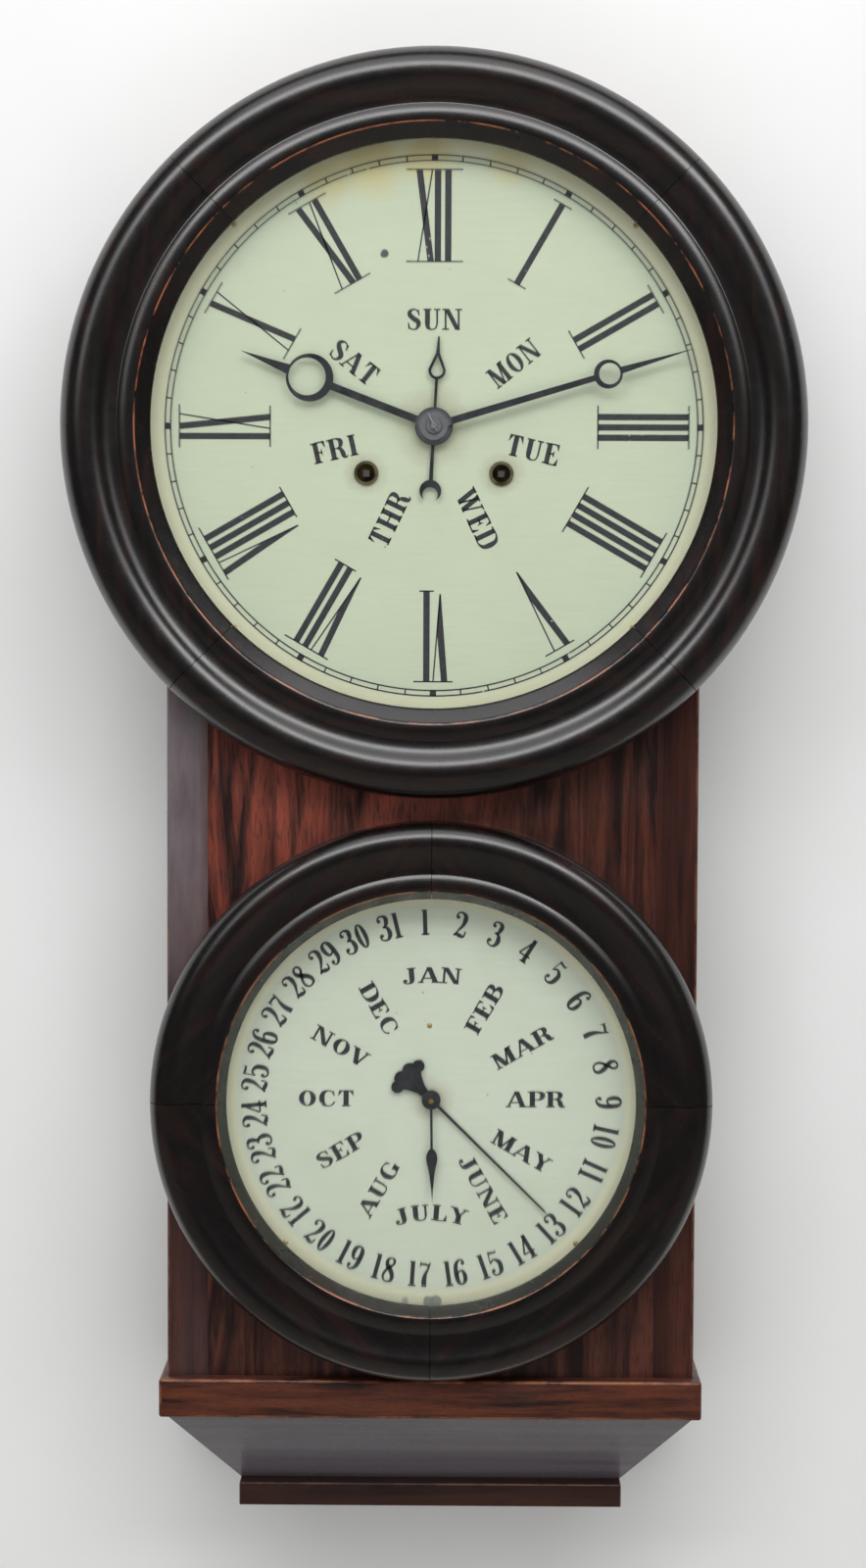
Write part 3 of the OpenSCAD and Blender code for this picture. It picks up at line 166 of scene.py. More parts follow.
class ClockStudio(PropertyGroup):
    """Light and camera."""
    key: level("Key light", 3.5, "Power of the lamp at the upper right")
    fill: level("Fill light", 3, "Power of the lamp at the upper left")
    top: level("Top light", 19.5, "Power of the wide lamp above")
    front: level("Front light", 8, "Power of the soft lamp in front")
    ceiling: level("Ceiling light", 5, "Power of the lamp high up")
    room: level("Room light", 0.58, "Strength of the light from all round")
    dim: level("Room in reflections", 0.035, "Strength of the room that gloss shows")
    distance: length("Camera distance", 1644.15, "Distance of the camera from the wall")
    floor_level: length("Floor depth", 2200, "How far the floor lies below the hanger")


GROUPS = {"clock_rings": ClockRings, "clock_print": ClockPrint, "clock_case": ClockCase,
          "clock_finishes": ClockFinishes, "clock_studio": ClockStudio}


def mm(group, name):
    """A setting's length in millimetres."""
    return getattr(getattr(bpy.context.scene, group), name) / MM


def finish(name):
    return tuple(getattr(bpy.context.scene.clock_finishes, name)) + (1.0,)


# ---------------------------------------------------------------- places

# Front of the panel, heights of the two dials, and the face of the ink with its thickness, in mm
FACE = -92.0
TIME_UP = -160.0
CALENDAR_UP = -527.7
INK_LEVEL = 1.06
INK_THICK = 0.05


def front(up):
    """From a front drawing on the axis at that height to the clock's frame in metres."""
    return (Matrix.Diagonal((MM, MM, MM, 1)) @ Matrix.Translation((0, FACE, up)) @
            Matrix(((1, 0, 0, 0), (0, 0, -1, 0), (0, 1, 0, 0), (0, 0, 0, 1))))


WHOLE = Matrix.Diagonal((MM, MM, MM, 1))


def piece(name, bm, place, material, body, replaces=(), sharp=32, merge=True):
    """Makes the drawn mesh an object of the clock."""
    bm.transform(place)
    if merge:
        bmesh.ops.remove_doubles(bm, verts=bm.verts, dist=1e-6)
    bmesh.ops.recalc_face_normals(bm, faces=bm.faces)
    for face in bm.faces:
        face.smooth = True
    for edge in bm.edges:
        edge.smooth = len(edge.link_faces) == 2 and edge.calc_face_angle(0) < math.radians(sharp)
    mesh = bpy.data.meshes.new(name)
    bm.to_mesh(mesh)
    bm.free()
    mesh.materials.append(material)
    made = bpy.data.objects.new(name, mesh)
    bpy.context.scene.collection.objects.link(made)
    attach(made, body)
    if replaces:
        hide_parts(*replaces)
    return made


# ---------------------------------------------------------------- materials

def add(tree, kind, inputs=None, stops=(), **settings):
    """Adds a node. An input is a value, an output, or a node, which stands for its first output in use.

    stops are the places of a colour ramp with their colours, where a plain number is a grey."""
    node = tree.nodes.new("ShaderNode" + kind)
    for key, value in settings.items():
        setattr(node, key, value)
    for key, value in (inputs or {}).items():
        socket = node.inputs[key] if isinstance(key, int) else next(
            s for s in node.inputs if s.enabled and s.name == key)
        if isinstance(value, bpy.types.Node):
            value = next(s for s in value.outputs if s.enabled)
        if isinstance(value, bpy.types.NodeSocket):
            tree.links.new(value, socket)
        else:
            socket.default_value = value
    if stops:
        points = node.color_ramp.elements
        while len(points) < len(stops):
            points.new(0.5)
        for point, (place, value) in zip(points, stops):
            point.position = place
            point.color = value if isinstance(value, tuple) else (value, value, value, 1)
    return node


def start(name):
    """A new material with its tree and the object coordinates, or the one already drawn."""
    material = bpy.data.materials.get(name)
    if material:
        return material, None, None
    material = bpy.data.materials.new(name)
    material.use_nodes = True
    tree = material.node_tree
    tree.nodes.clear()
    return material, tree, add(tree, "TexCoord").outputs["Object"]


def wood(name, mid, dark, light, grain, figure=0.5, rough=0.3, coat=0.3, worn=None, seed=0.0, at=None, side=None,
         polish=0.6, relief=0.08, painted_sheen=None, under=0.5, pores=0.55):
    """Sliced rosewood under old shellac: long dark figure lines, short open pores and a soft sheen.

    grain holds the sizes in mm of one cycle of the figure in x, y and z, long along the grain."""
    material, tree, objects = start(name)
    if tree is None:
        return material
    at = at(tree) if at else objects
    lines = add(tree, "Mapping", {"Vector": at, "Scale": [1000 / g for g in grain], "Location": (seed, seed, seed)})
    bands = add(tree, "TexNoise", {"Vector": lines, "Scale": 1, "Detail": 5, "Roughness": 0.62, "Distortion": figure})
    dark_lines = add(tree, "ValToRGB", {"Fac": bands}, [(0.36, 0), (0.5, 0.55), (0.62, 1)])
    body = add(tree, "Mix", {"Factor": dark_lines, "A": dark, "B": mid}, data_type="RGBA")
    broad = add(tree, "Mapping", {"Vector": at, "Scale": [700 / g for g in grain], "Location": (seed + 5, 3, 1)})
    glow = add(tree, "TexNoise", {"Vector": broad, "Scale": 1, "Detail": 2, "Roughness": 0.5, "Distortion": 0.4})
    pale = add(tree, "ValToRGB", {"Fac": glow}, [(0.45, 0), (0.75, 0.75)])
    body = add(tree, "Mix", {"Factor": pale, "A": body, "B": light}, data_type="RGBA")
    if side:
        other_lines = add(tree, "ValToRGB", {"Fac": bands}, [(0.4, 0), (0.6, 1)])
        other = add(tree, "Mix", {"Factor": other_lines, "A": dark, "B": finish("panel_right")}, data_type="RGBA")
        body = add(tree, "Mix", {"Factor": side(tree, objects), "A": body, "B": other}, data_type="RGBA")
    fine = add(tree, "Mapping", {"Vector": at, "Scale": [12000 / g for g in grain]})
    short = add(tree, "TexNoise", {"Vector": fine, "Scale": 1, "Detail": 2, "Roughness": 0.6, "Distortion": 0.1})
    specks = add(tree, "ValToRGB", {"Fac": short}, [(0.38, 1), (0.47, 0)])
    open_pores = add(tree, "Math", {0: specks, 1: pores}, operation="MULTIPLY")
    body = add(tree, "Mix", {"Factor": open_pores, "A": body, "B": dark}, data_type="RGBA")
    if worn:
        # the arris is rubbed through in patches of about 22 mm
        wear = add(tree, "Attribute", attribute_name="worn").outputs["Fac"]
        patch = add(tree, "TexNoise", {"Vector": objects, "Scale": 45, "Detail": 4, "Roughness": 0.7,
                                       "Distortion": 0.3})
        bare = add(tree, "ValToRGB", {"Fac": patch}, [(0.43, 0), (0.6, 0.95)])
        much = add(tree, "Math", {0: wear, 1: bare}, operation="MULTIPLY")
        body = add(tree, "Mix", {"Factor": much, "A": body, "B": worn}, data_type="RGBA")
    # painted sheen: a grey reflection is painted into the colour where the mask below is set
    if painted_sheen:
        body = add(tree, "Mix", {"Factor": painted_sheen(tree, objects), "A": body, "B": opaque("#746b70")}, data_type="RGBA")
    # the shellac is smeared over about 36 mm, and its top is rubbed in spots of 9 mm
    smear = add(tree, "TexNoise", {"Vector": objects, "Scale": 28, "Detail": 3, "Roughness": 0.6})
    gloss = add(tree, "MapRange", {"Value": smear, "From Min": 0.3, "From Max": 0.7,
                                   "To Min": rough * 0.8, "To Max": rough * 1.3})
    dull_pores = add(tree, "Math", {0: specks, 1: 0.12}, operation="MULTIPLY")
    rubbed = add(tree, "TexNoise", {"Vector": objects, "Scale": 110, "Detail": 5, "Roughness": 0.7})
    polished = rough * polish
    height = add(tree, "Math", {0: bands, 1: specks}, operation="SUBTRACT")
    shader = add(tree, "BsdfPrincipled", {
        "Base Color": body, "Roughness": add(tree, "Math", {0: gloss, 1: dull_pores}, operation="ADD"),
        "Specular IOR Level": under, "Coat Weight": coat, "Coat IOR": 1.75,
        "Coat Roughness": add(tree, "MapRange", {"Value": rubbed, "From Min": 0.35, "From Max": 0.65,
                                                 "To Min": polished * 0.95, "To Max": polished * 1.12}),
        "Normal": add(tree, "Bump", {"Height": height, "Strength": 0.5, "Distance": relief * MM})})
    add(tree, "OutputMaterial", {"Surface": shader})
    return material


def ring_coordinates(tree):
    return add(tree, "Attribute", attribute_name="grain").outputs["Vector"]


def bezel_wood():
    """Ebonised rosewood, turned and polished: nearly black, brown streaks along each segment, bare worn arris."""
    return wood("ebonised_rosewood", finish("bezel"), (0.004, 0.003, 0.003, 1), finish("bezel_streak"),
                (70, 5, 5), 0.3, 0.5, 1.0, worn=finish("bezel_worn"), at=ring_coordinates, polish=0.5, relief=0.015,
                under=0.06)


def right_side(tree, objects):
    """The panel goes from red at the upper left to brown on the right and at the foot."""
    parts = add(tree, "SeparateXYZ", {"Vector": objects})
    right = add(tree, "MapRange", {"Value": parts.outputs["X"], "From Min": -0.02, "From Max": 0.05})
    low = add(tree, "MapRange", {"Value": parts.outputs["Z"], "From Min": -0.56, "From Max": -0.64})
    return add(tree, "Math", {0: right, 1: low}, operation="MAXIMUM")


def panel_wood():
    """Rosewood veneer, sliced and shellacked: red with a strong dark figure, the grain upright."""
    return wood("rosewood_panel_veneer", finish("panel_left"), finish("veneer_dark"), opaque("#9c4530"),
                (17, 17, 150), 1.6, 0.33, 0.25, side=right_side)


def case_wood():
    """Rosewood veneer of stiles and sides: dark brown, straight upright grain, rubbed edges, and a painted grey sheen
    on the left stile.
    """
    return wood("rosewood_case_veneer", finish("case"), finish("veneer_dark"), opaque("#5b2d20"),
                (9, 9, 200), 0.5, 0.3, 0.35, worn=opaque("#6b3d28"), seed=2.0, painted_sheen=left_side)


def left_side(tree, objects):
    """Painted sheen on the left stile: a grey reflection painted into its colour, strongest halfway up."""
    parts = add(tree, "SeparateXYZ", {"Vector": objects})
    left = add(tree, "MapRange", {"Value": parts.outputs["X"], "From Min": -0.115, "From Max": -0.128})
    high = add(tree, "MapRange", {"Value": parts.outputs["Z"], "From Min": -0.52, "From Max": -0.40,
                                  "To Min": 0.1, "To Max": 0.85})
    # the painted sheen lies in clouds 17 mm wide and 70 mm high
    upright = add(tree, "Mapping", {"Vector": objects, "Scale": (60, 60, 14)})
    cloud = add(tree, "TexNoise", {"Vector": upright, "Scale": 1, "Detail": 4, "Roughness": 0.6})
    patchy = add(tree, "ValToRGB", {"Fac": cloud}, [(0.3, 0.45), (0.65, 1)])
    there = add(tree, "Math", {0: left, 1: high}, operation="MULTIPLY")
    return add(tree, "Math", {0: there, 1: patchy}, operation="MULTIPLY")


def ledge_wood():
    """Rosewood board with its grain along the front, its upper edge rubbed bare."""
    return wood("rosewood_ledge", finish("ledge"), finish("veneer_dark"), opaque("#6a3119"),
                (60, 7, 5), 0.4, 0.36, 0.2, worn=opaque("#86502f"), seed=7.0)


def chin_wood():
    """Rosewood on the sloping boards, their brown greyed by painted sheen: the floor's reflection on these down-facing
    boards, painted into their colour.
    """
    return wood("rosewood_chin", finish("chin"), opaque("#5e595e"), opaque("#716c73"),
                (260, 9, 5), 0.2, 0.42, 0.5, seed=4.0, relief=0.03, pores=0.12)


def plinth_wood():
    """Rosewood plinth, grain along the front."""
    return wood("rosewood_plinth", finish("plinth"), finish("veneer_dark"), opaque("#4a2618"),
                (140, 10, 8), 0.5, 0.38, 0.2, worn=opaque("#5c3322"), seed=9.0)


def softwood():
    """Bare pine of the back and top boards: pale, soft annual lines, dull."""
    material, tree, at = start("bare_pine")
    if tree is None:
        return material
    upright = add(tree, "Mapping", {"Vector": at, "Scale": (1000 / 14, 1000 / 14, 1000 / 320)})
    lines = add(tree, "TexNoise", {"Vector": upright, "Scale": 1, "Detail": 4, "Roughness": 0.5, "Distortion": 0.8})
    body = add(tree, "ValToRGB", {"Fac": lines}, [(0.35, opaque("#7d5734")), (0.55, opaque("#a3794c")),
                                                  (0.75, opaque("#b38a5c"))])
    # old dust in clouds of about 55 mm
    dust = add(tree, "TexNoise", {"Vector": at, "Scale": 18, "Detail": 4, "Roughness": 0.6})
    dusty = add(tree, "ValToRGB", {"Fac": dust}, [(0.45, 0), (0.8, 0.5)])
    body = add(tree, "Mix", {"Factor": dusty, "A": body, "B": opaque("#5d432b")}, data_type="RGBA")
    shader = add(tree, "BsdfPrincipled", {
        "Base Color": body, "Roughness": 0.7,
        "Normal": add(tree, "Bump", {"Height": lines, "Strength": 0.6, "Distance": 0.15 * MM})})
    add(tree, "OutputMaterial", {"Surface": shader})
    return material


def bead_wood():
    """Stained softwood bead that holds the glass: dark and dull."""
    material, tree, at = start("stained_glazing_bead")
    if tree is None:
        return material
    # the stain took unevenly, in spots of about 6 mm
    mottled = add(tree, "TexNoise", {"Vector": at, "Scale": 160, "Detail": 4, "Roughness": 0.6})
    shader = add(tree, "BsdfPrincipled", {
        "Base Color": add(tree, "ValToRGB", {"Fac": mottled}, [(0.3, opaque("#2a1911")), (0.7, opaque("#452b1d"))]),
        "Roughness": 0.55,
        "Normal": add(tree, "Bump", {"Height": mottled, "Strength": 0.5, "Distance": 0.05 * MM})})
    add(tree, "OutputMaterial", {"Surface": shader})
    return material


def metal(name, clean, dull, rough, grit=1.2, brushed=(1, 1, 1), relief=0.02, metallic=1.0, ahead=None):
    """A worked metal: clean and tarnished patches, fine tool marks, uneven gloss.

    ahead is the colour in front of the movement, where a brass wheel's steel arbor comes through the dial."""
    material, tree, at = start(name)
    if tree is None:
        return material
    patch = add(tree, "TexNoise", {"Vector": at, "Scale": 1000 / 22, "Detail": 4, "Roughness": 0.6,
                                   "Distortion": 0.4})
    drawn_out = add(tree, "Mapping", {"Vector": at, "Scale": [1000 / grit / b for b in brushed]})
    marks = add(tree, "TexNoise", {"Vector": drawn_out, "Scale": 1, "Detail": 3, "Roughness": 0.6})
    tarnish = add(tree, "ValToRGB", {"Fac": patch}, [(0.38, 0), (0.66, 1)])
    body = add(tree, "Mix", {"Factor": tarnish, "A": clean, "B": dull}, data_type="RGBA")
    if ahead:
        depth = add(tree, "SeparateXYZ", {"Vector": at}).outputs["Y"]
        before = add(tree, "Math", {0: depth, 1: -0.08}, operation="LESS_THAN")
        body = add(tree, "Mix", {"Factor": before, "A": body, "B": ahead}, data_type="RGBA")
    faint = add(tree, "Math", {0: marks, 1: 0.35}, operation="MULTIPLY")
    body = add(tree, "Mix", {"Factor": faint, "A": body, "B": dull}, data_type="RGBA", blend_type="MULTIPLY")
    shader = add(tree, "BsdfPrincipled", {
        "Base Color": body, "Metallic": metallic,
        "Roughness": add(tree, "MapRange", {"Value": patch, "From Min": 0.3, "From Max": 0.7,
                                            "To Min": rough * 0.8, "To Max": rough * 1.5}),
        "Normal": add(tree, "Bump", {"Height": marks, "Strength": 0.6, "Distance": relief * MM})})
    add(tree, "OutputMaterial", {"Surface": shader})
    return material


def dial_paint(name, base, up, sight, stains):
    """Oil paint on zinc, varnished and aged: pale green, painted light at the rim, small dark specks, grime by the
    holes.

    up is the height of the dial's centre and sight the radius of the dial in view, in mm. stains lists (right, up,
    reach, strength, colour), in mm from the centre; the strong ones have a sharp edge."""
    material, tree, at = start(name)
    if tree is None:
        return material
    cloud = add(tree, "TexNoise", {"Vector": at, "Scale": 1000 / 70, "Detail": 4, "Roughness": 0.6,
                                   "Distortion": 0.5})
    aged = add(tree, "ValToRGB", {"Fac": cloud}, [(0.35, 0), (0.7, 0.12)])
    body = add(tree, "Mix", {"Factor": aged, "A": base, "B": opaque("#9aa487")}, data_type="RGBA")
    slanting = add(tree, "Mapping", {"Vector": at, "Scale": (1000 / 30, 1, 1000 / 1.6), "Rotation": (0, 0.2, 0)})
    brushed = add(tree, "TexNoise", {"Vector": slanting, "Scale": 1, "Detail": 3, "Roughness": 0.6})
    strokes = add(tree, "ValToRGB", {"Fac": brushed}, [(0.35, 0.08), (0.6, 0)])
    body = add(tree, "Mix", {"Factor": strokes, "A": body, "B": opaque("#97a184")}, data_type="RGBA")
    places = [(0, 0)] + [(right, high) for right, high, *rest in stains]
    far = [add(tree, "VectorMath", {0: at, 1: (right * MM, (FACE - 1) * MM, (up + high) * MM)}, operation="DISTANCE")
           for right, high in places]
    # painted light: the rim is painted paler and yellower, lifting the shade that the bezel casts on the dial
    rim = add(tree, "MapRange", {"Value": far[0], "From Min": sight * MM * 0.945, "From Max": sight * MM * 0.975})
    painted_rim_light = add(tree, "Math", {0: rim, 1: 0.75}, operation="MULTIPLY")
    body = add(tree, "Mix", {"Factor": painted_rim_light, "A": body, "B": opaque("#e6e4c4")}, data_type="RGBA")
    for near, (_, _, size, strength, tint) in zip(far[1:], stains):
        reach = size * MM
        edge = add(tree, "TexNoise", {"Vector": at, "Scale": 1 / reach, "Detail": 5, "Roughness": 0.7})
        ragged = add(tree, "Math", {0: near, 1: add(tree, "Math", {0: edge, 1: reach * -0.9}, operation="MULTIPLY")},
                     operation="ADD")
        full, none = (0.35, 0.45) if strength > 0.7 else (0.05, 0.75)
        spot = add(tree, "MapRange", {"Value": ragged, "From Min": reach * full, "From Max": reach * none,
                                      "To Min": strength, "To Max": 0})
        body = add(tree, "Mix", {"Factor": spot, "A": body, "B": opaque(tint)}, data_type="RGBA")
    dots = add(tree, "TexVoronoi", {"Vector": at, "Scale": 1000 / 13}).outputs["Distance"]
    some = add(tree, "TexNoise", {"Vector": at, "Scale": 1000 / 21, "Detail": 2, "Roughness": 0.5})
    dot = add(tree, "ValToRGB", {"Fac": dots}, [(0.028, 1), (0.05, 0)])
    here = add(tree, "ValToRGB", {"Fac": some}, [(0.5, 0), (0.56, 1)])
    speck = add(tree, "Math", {0: dot, 1: here}, operation="MULTIPLY")
    faint = add(tree, "Math", {0: speck, 1: 0.7}, operation="MULTIPLY")
    body = add(tree, "Mix", {"Factor": faint, "A": body, "B": opaque("#5b5a4c")}, data_type="RGBA")
    height = add(tree, "Math", {0: brushed, 1: speck}, operation="ADD")
    shader = add(tree, "BsdfPrincipled", {
        "Base Color": body, "Roughness": add(tree, "ValToRGB", {"Fac": cloud}, [(0.3, 0.36), (0.7, 0.5)]),
        "Normal": add(tree, "Bump", {"Height": height, "Strength": 0.5, "Distance": 0.03 * MM})})
    add(tree, "OutputMaterial", {"Surface": shader})
    return material


def ink():
    """Transferred printer's ink: blue-black, dull, with pin holes and small chips that show the paint."""
    material, tree, at = start("dial_ink")
    if tree is None:
        return material
    shade = add(tree, "TexNoise", {"Vector": at, "Scale": 1000 / 3, "Detail": 3, "Roughness": 0.6})
    greyed = add(tree, "ValToRGB", {"Fac": shade}, [(0.3, 0), (0.8, 1)])
    body = add(tree, "Mix", {"Factor": greyed, "A": finish("ink"), "B": opaque("#3a3d42")}, data_type="RGBA")
    chips = add(tree, "TexVoronoi", {"Vector": at, "Scale": 1000 / 5.2}).outputs["Distance"]
    where = add(tree, "TexNoise", {"Vector": at, "Scale": 1000 / 45, "Detail": 2, "Roughness": 0.5})
    hole = add(tree, "ValToRGB", {"Fac": chips}, [(0.07, 1), (0.1, 0)])
    here = add(tree, "ValToRGB", {"Fac": where}, [(0.52, 0), (0.58, 1)])
    chip = add(tree, "Math", {0: hole, 1: here}, operation="MULTIPLY")
    shader = add(tree, "BsdfPrincipled", {
        "Base Color": add(tree, "Mix", {"Factor": chip, "A": body, "B": finish("dial")}, data_type="RGBA"),
        "Roughness": 0.5, "Normal": add(tree, "Bump", {"Height": shade, "Strength": 0.4, "Distance": 0.01 * MM})})
    add(tree, "OutputMaterial", {"Surface": shader})
    return material


def hand_paint():
    """Steel hands, blued and then lacquered: blue-black, a soft sheen, rubbed grey in places, painted sheen on the big
    hub.
    """
    material, tree, at = start("lacquered_steel_hands")
    if tree is None:
        return material
    rubbed = add(tree, "TexNoise", {"Vector": at, "Scale": 1000 / 9, "Detail": 4, "Roughness": 0.6})
    body = add(tree, "ValToRGB", {"Fac": rubbed}, [(0.35, finish("hand")), (0.75, opaque("#3f4147"))])
    # painted sheen: the big hub is painted light grey, standing in for the light its gloss catches
    off_hub = add(tree, "VectorMath", {0: at, 1: (0, 0, TIME_UP * MM)}, operation="SUBTRACT")
    flat = add(tree, "VectorMath", {0: off_hub, 1: (1, 0, 1)}, operation="MULTIPLY")
    far = add(tree, "VectorMath", {0: flat}, operation="LENGTH")
    hub = add(tree, "MapRange", {"Value": far, "From Min": 0.0075, "From Max": 0.0105, "To Min": 0.75, "To Max": 0})
    fine = add(tree, "TexNoise", {"Vector": at, "Scale": 1000 / 0.8, "Detail": 2, "Roughness": 0.6})
    shader = add(tree, "BsdfPrincipled", {
        "Base Color": add(tree, "Mix", {"Factor": hub, "A": body, "B": opaque("#7d7e83")}, data_type="RGBA"),
        "Metallic": 0.35, "Roughness": add(tree, "ValToRGB", {"Fac": rubbed}, [(0.3, 0.3), (0.7, 0.5)]),
        "Normal": add(tree, "Bump", {"Height": fine, "Strength": 0.4, "Distance": 0.01 * MM})})
    add(tree, "OutputMaterial", {"Surface": shader})
    return material


def window_glass():
    """Old cylinder glass: clear, faintly green, slightly wavy."""
    material, tree, at = start("old_window_glass")
    if tree is None:
        return material
    waves = add(tree, "TexNoise", {"Vector": at, "Scale": 1000 / 60, "Detail": 1, "Roughness": 0.4})
    shader = add(tree, "BsdfPrincipled", {
        "Base Color": opaque("#eef4ee"), "Roughness": 0.02, "IOR": 1.45, "Transmission Weight": 1, "Alpha": 0.16,
        "Normal": add(tree, "Bump", {"Height": waves, "Strength": 0.3, "Distance": 0.2 * MM})})
    add(tree, "OutputMaterial", {"Surface": shader})
    return material


def brass():
    return metal("aged_brass", finish("brass"), opaque("#6f5a34"), 0.32, 0.8, (1, 1, 12))


def finishes():
    """Material of each of the record's slots."""
    return {
        "bezel_rosewood": bezel_wood(), "panel_veneer": panel_wood(), "case_veneer": case_wood(), "pine": softwood(),
        "bead_wood": bead_wood(), "hand_paint": hand_paint(), "brass": brass(), "glass": window_glass(),
        "grommet_metal": metal("dull_brass_grommets", opaque("#989079"), opaque("#4c463a"), 0.42, 0.7),
        "steel": metal("turned_steel", opaque("#d4d5d6"), opaque("#8f8f8e"), 0.3, 0.6, (1, 8, 1)),
        "spring_steel": metal("blued_spring_steel", opaque("#4b5566"), opaque("#2e3138"), 0.25, 0.7),
        "iron": metal("black_iron", opaque("#4a4742"), opaque("#2f2a26"), 0.5, 0.9, relief=0.06,
                      metallic=0.8),
    }


# ---------------------------------------------------------------- bezels

def arc(centre, radius, first, last, steps):
    turns = [math.radians(first + (last - first) * i / steps) for i in range(steps + 1)]
    return [(centre[0] + radius * math.cos(a), centre[1] + radius * math.sin(a)) for a in turns]


def ring_section(outer, sight, depth, roll, slope, bevel, share, edge):
    """A bezel's section as (radius, height) from the ring's back: roll, hollow, quarter round, worn arris, bevel.

    The quarter round runs from out degrees outside its top to back degrees inside it. Gives the arris's radius too."""
    out, back = 30, 15
    steep, right, left = (math.radians(v) for v in (slope, out, back))
    roll_at = (outer - roll, depth - roll)
    arris = sight + bevel
    groove = arris + share * (roll_at[0] - arris)
    hollow = (roll_at[0] - groove) / math.sin(steep) - roll
    hollow_at = (groove, roll_at[1] + (roll + hollow) * math.cos(steep))
    quarter = (groove - arris) / (math.sin(right) + math.sin(left))
    quarter_at = (groove - quarter * math.sin(right), hollow_at[1] - hollow - quarter * math.cos(right))
    crest = quarter_at[1] + quarter * math.cos(left)
    fall = (crest - edge) / bevel
    rebate, lip = 5.6, 1.6
    return ([(sight + rebate, 0), (outer - 1.5, 0), (outer, 1.5)] + arc(roll_at, roll, 0, 90 + slope, 32)
            + arc(hollow_at, hollow, slope - 92, -89, 14) + arc(quarter_at, quarter, 90 - out, 90 + back - 3, 12)
            + [(arris + 0.35, crest + 0.02), (arris - 0.05, crest - 0.25), (arris - 0.4, crest - 0.3 - 0.4 * fall),
               (arris - 1.2, crest - 0.3 - 1.2 * fall), (sight + 1.3, edge + 1.3 * fall),
               (sight + 0.4, edge + 0.3 * fall), (sight, edge - 0.3), (sight, edge - lip),
               (sight + rebate, edge - lip)]), arris


def ring(name, which, up, turn, body):
    """Four sawn segments, each with straight grain, glued into a ring and turned."""
    outer, sight, depth, roll, bevel, edge = (
        mm("clock_rings", "%s_%s" % (which, part)) for part in "outer sight depth roll bevel edge".split())
    slope = math.degrees(getattr(bpy.context.scene.clock_rings, which + "_slope"))
    share = getattr(bpy.context.scene.clock_rings, which + "_round")
    section, arris = ring_section(outer, sight, depth, roll, slope, bevel, share, edge)
    gap = mm("clock_rings", "joint") / outer
    back, between_segments = 0.4, 300
    bm = bmesh.new()
    for quarter in range(4):
        a = math.radians(turn + 90 * quarter) + gap / 2
        corners = [bm.verts.new((r * math.cos(a), r * math.sin(a), back + t)) for r, t in section]
        edges = [bm.edges.new((corners[i - 1], corners[i])) for i in range(len(corners))]
        bmesh.ops.spin(bm, geom=corners + edges, axis=(0, 0, 1), cent=(0, 0, 0), angle=math.pi / 2 - gap, steps=44)
    rims = [e for e in bm.edges if len(e.link_faces) == 1]
    bmesh.ops.holes_fill(bm, edges=rims, sides=0)
    grain = bm.verts.layers.float_vector.new("grain")
    worn = bm.verts.layers.float.new("worn")
    for vert in bm.verts:
        x, y, t = vert.co
        t -= back
        r, way = math.hypot(x, y), math.degrees(math.atan2(y, x)) - turn
        quarter = int((way % 360) // 90)
        a = math.radians(turn + 90 * quarter + 45)
        along, across = -x * math.sin(a) + y * math.cos(a), x * math.cos(a) + y * math.sin(a)
        vert[grain] = (along * MM, (across + between_segments * quarter) * MM, t * MM)
        vert[worn] = 1.0 if -0.1 < r - arris < 0.4 and t > edge + 0.8 else 0.0
    return piece(name, bm, front(up), bezel_wood(), body, ["%s_bezel" % which], sharp=50)


class CLOCK_OT_bezels(Operator):
    """Builds the two turned bezels"""
    bl_idname = "clock.bezels"
    bl_label = "Bezels"

    def execute(self, context):
        ring("time_bezel_turned", "time", TIME_UP, 45, "time_door")
        ring("calendar_bezel_turned", "calendar", CALENDAR_UP, 0, "calendar_door")
        return {"FINISHED"}


# ---------------------------------------------------------------- case boards

def board(bm, low, high, rounding, segments=3):
    """A board between two corners with its edges eased; the eased faces are marked worn."""
    made = bmesh.ops.create_cube(bm, size=1)["verts"]
    size = Vector(high) - Vector(low)
    bmesh.ops.scale(bm, vec=size, verts=made)
    bmesh.ops.translate(bm, vec=(Vector(low) + Vector(high)) / 2, verts=made)
    ease(bm, list({e for v in made for e in v.link_edges}), rounding, segments)


def ease(bm, edges, rounding, segments=3):
    worn = bm.loops.layers.float_color.get("worn") or bm.loops.layers.float_color.new("worn")
    bmesh.ops.bevel(bm, geom=edges, offset=rounding, affect="EDGES", segments=segments, profile=0.5, material=-1)
    bm.normal_update()
    for face in bm.faces:
        eased = 1.0 if max(abs(n) for n in face.normal) < 0.999 else 0.0
        for loop in face.loops:
            loop[worn] = (eased, eased, eased, 1)


